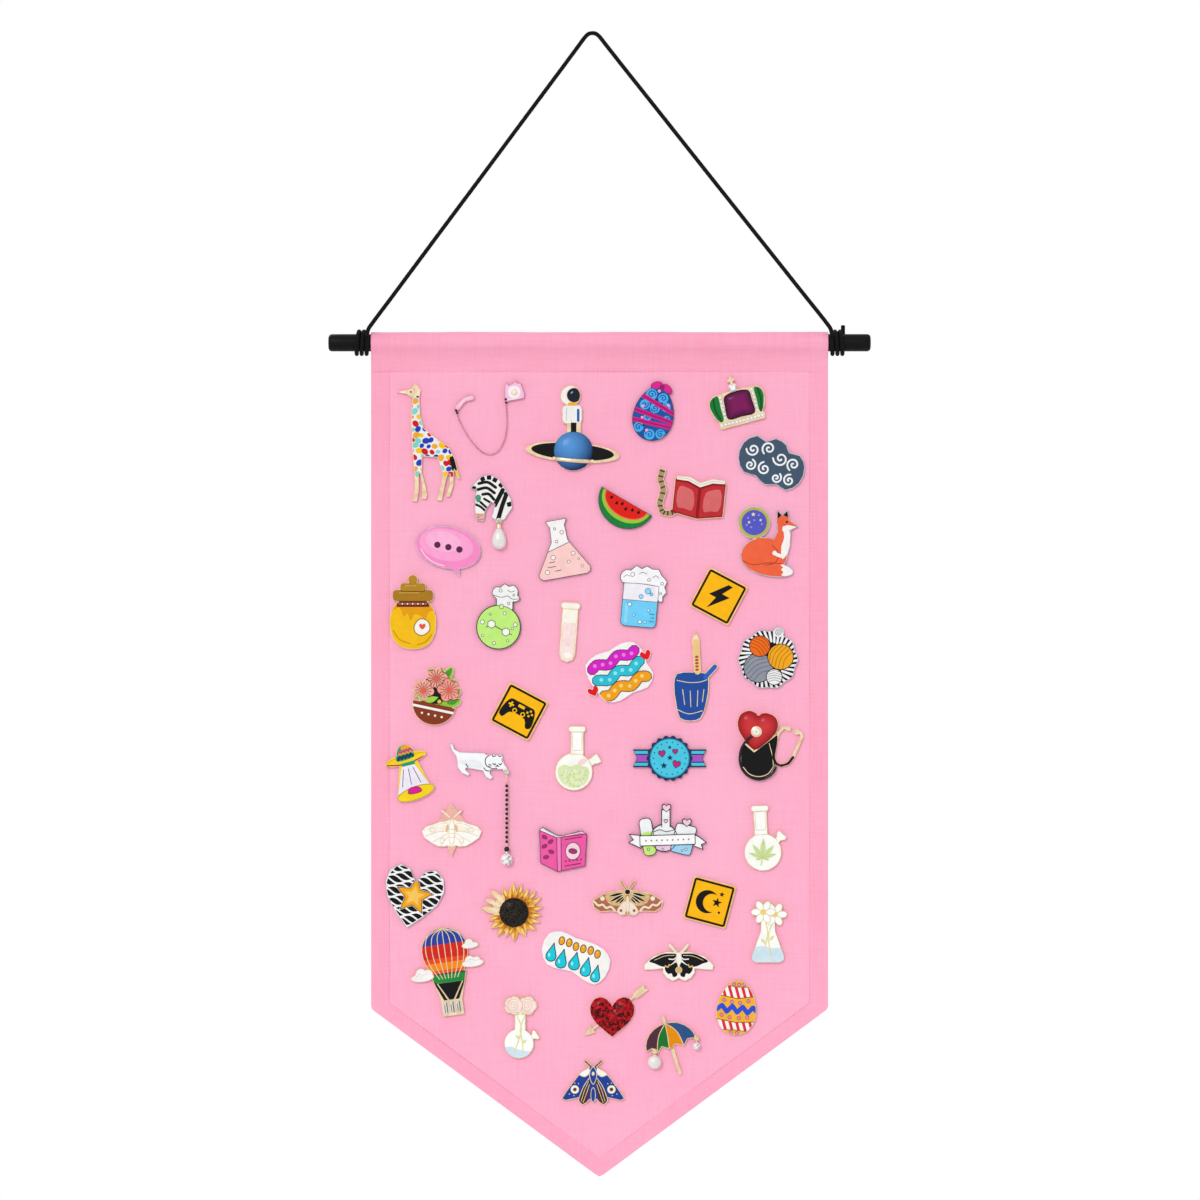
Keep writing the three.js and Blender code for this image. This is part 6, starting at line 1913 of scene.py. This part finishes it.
pear = [(0.05, -18.8), (1.6, -18.5), (3.2, -17.6), (4.3, -16.2), (4.7, -14.4), (4.65, -12.4), (4.2, -10.2),
        (3.5, -8.2), (2.7, -6.6), (2, -5.4), (1.4, -4.6), (0.3, -4.3)]
pearl("zebra_drop", "zebra", 5.1, -15.6, pear,
      [(0.3, -5.6), (1.9, -5.3), (2.1, -4.8), (1.4, -3.6), (1.5, -2.6), (0.6, -1.8), (0.2, -1.5)])
pearl("umbrella_drop", "umbrella", -11.7, -1.1, globe(-7.1, 4.6),
      [(0.3, -3.2), (1.7, -3), (1.4, -2.2), (0.5, -1.6), (0.2, -1.4)])

stud = hung("umbrella", 17.2, -0.4)
stone = faceted("umbrella_stone", "umbrella_crystal", stud, -5.2, 2.6, (1, 0.5))
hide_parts("umbrella_crystal")
stone_cap = lathe([(0.3, -3.2), (1, -2.9), (0.6, -1.9), (0.2, -1.4)], 12, stud, "Z", FLAT_BACK)
build("umbrella_stone_fitting", "umbrella_crystal", "gold", *gather([eye_ring(stud), stone_cap]), ["gold"],
      smooth=True)

stud = hung("cat", 18.4, -7)
round_bead = (1, 0.8)
links = [eye_ring(stud), wire([stud + Vector((0, 0, z)) for z in (-1.6, -3, -5, -8.4)], 0.4)]
beads = []
for i in range(13):
    level = -9.3 - 3.05 * i
    beads.append(lathe(globe(level, 1.05, 8), 14, stud, "Z", round_bead))
    links.append(lathe(globe(level - 1.52, 0.6, 6), 10, stud, "Z", round_bead))
beads.append(lathe(globe(-50.8, 1.75, 10), 18, stud, "Z", round_bead))
links.append(lathe([(0.3, -49.6), (0.5, -48.9), (0.5, -47.2), (0.3, -46.5)], 10, stud, "Z", round_bead))
links.append(lathe([(0.3, -54.4), (1.3, -53.8), (0.8, -52.4), (0.3, -51.6)], 12, stud, "Z", FLAT_BACK))
chain_beads = build("cat_beads", "cat_chain", "black_metal", *gather(beads), ["bead"], smooth=True)
build("cat_links", "cat_chain", "gold", *gather(links), ["gold"], smooth=True)
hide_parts("cat_chain")
faceted("cat_crystal", "cat_chain", stud, -57.6, 4.1, FLAT_BACK)

phone_route = [(-18.4, 3.9), (-17.4, 0.6), (-14.9, -5), (-9.3, -14.2), (-2.1, -22), (3.5, -24), (9, -21.5),
               (13, -14.2), (14.6, -4.1), (14.4, 4), (14, 9.9)]
put = place("phone")
points = [put(u, v, -0.8) for u, v in spaced(through(phone_route, 12), 1.15)]
outward = Vector((0, -1, 0))
link_turns = [2 * math.pi * k / 12 for k in range(13)]
links = []
for i, (start, end) in enumerate(zip(points, points[1:])):
    along = (end - start).normalized()
    side = outward if i % 2 else along.cross(outward)
    middle = (start + end) / 2
    ring = [middle + 0.85 * math.cos(t) * along + 0.34 * math.sin(t) * side for t in link_turns]
    links.append(wire(ring, 0.17, 6))
chain = build("phone_links", "telephone", "gold", *gather(links), ["rose"], smooth=True)
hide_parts("phone_chain")
bead_places = ((-18.8, 5, 0.4), (-18.1, 3.5, -0.6), (13.8, 12.3, 0.4), (14.1, 10.3, -0.6))
beads = [lathe(globe(0, 0.85, 8), 12, put(*spot)) for spot in bead_places]
build("phone_beads", "telephone", "black_metal", *gather(beads), ["bead"], smooth=True)


# Clutches behind the cloth

def clutch(middle, turn):
    """A butterfly clutch: a dished base, a collar round the post and two sprung wings."""
    base = [(0.62, 0.35), (4, 0.05), (4.3, 0.2), (4.3, 0.75), (3.9, 0.9), (1.9, 0.8), (1.7, 1.2), (1.6, 3.2),
            (1.3, 3.5), (0.62, 3.4)]
    bend = [(1.2, 0.95), (3.4, 1), (4.7, 1.5), (5.2, 2.6), (4.7, 3.7), (3.4, 4.2), (1.9, 3.6)]
    cos = math.cos(turn)
    sin = math.sin(turn)
    meshes = [lathe(base, 20, middle, "Y")]
    for side in (1, -1):
        verts = []
        for reach, out in through(bend, 3):
            for across in (-1.9, 1.9):
                for lift in (-0.16, 0.16):
                    u = side * reach
                    w = across * (1 - 0.05 * reach)
                    verts.append(Vector(middle) + Vector((u * cos - w * sin, out + lift, u * sin + w * cos)))
        faces = []
        for i in range(len(verts) // 4 - 1):
            for a, b in ((0, 1), (1, 3), (3, 2), (2, 0)):
                faces.append((4 * i + a, 4 * i + b, 4 * i + 4 + b, 4 * i + 4 + a))
        faces.extend([(0, 2, 3, 1), tuple(len(verts) - 4 + k for k in (0, 1, 3, 2))])
        meshes.append((verts, faces))
    return meshes


clutches = []
for i, pin in enumerate(PINS):
    x, _, z = place(pin)(*POSTS.get(pin, (0, 0)), 0)
    clutches.extend(clutch((x, 0.05, z), 0.9 * i))
build("clutches", "banner", "gold", *gather(clutches), ["brass"])


# The plates keep their solids, with the metal of each

metal_of = {pin: metal for metal, pins in FINISH.items() for pin in pins.split()}
for pin in PINS:
    for material_slot in nodes[pin + "_pin"].material_slots:
        material_slot.link = "OBJECT"
        material_slot.material = MATERIALS[metal_of.get(pin, "gold")]
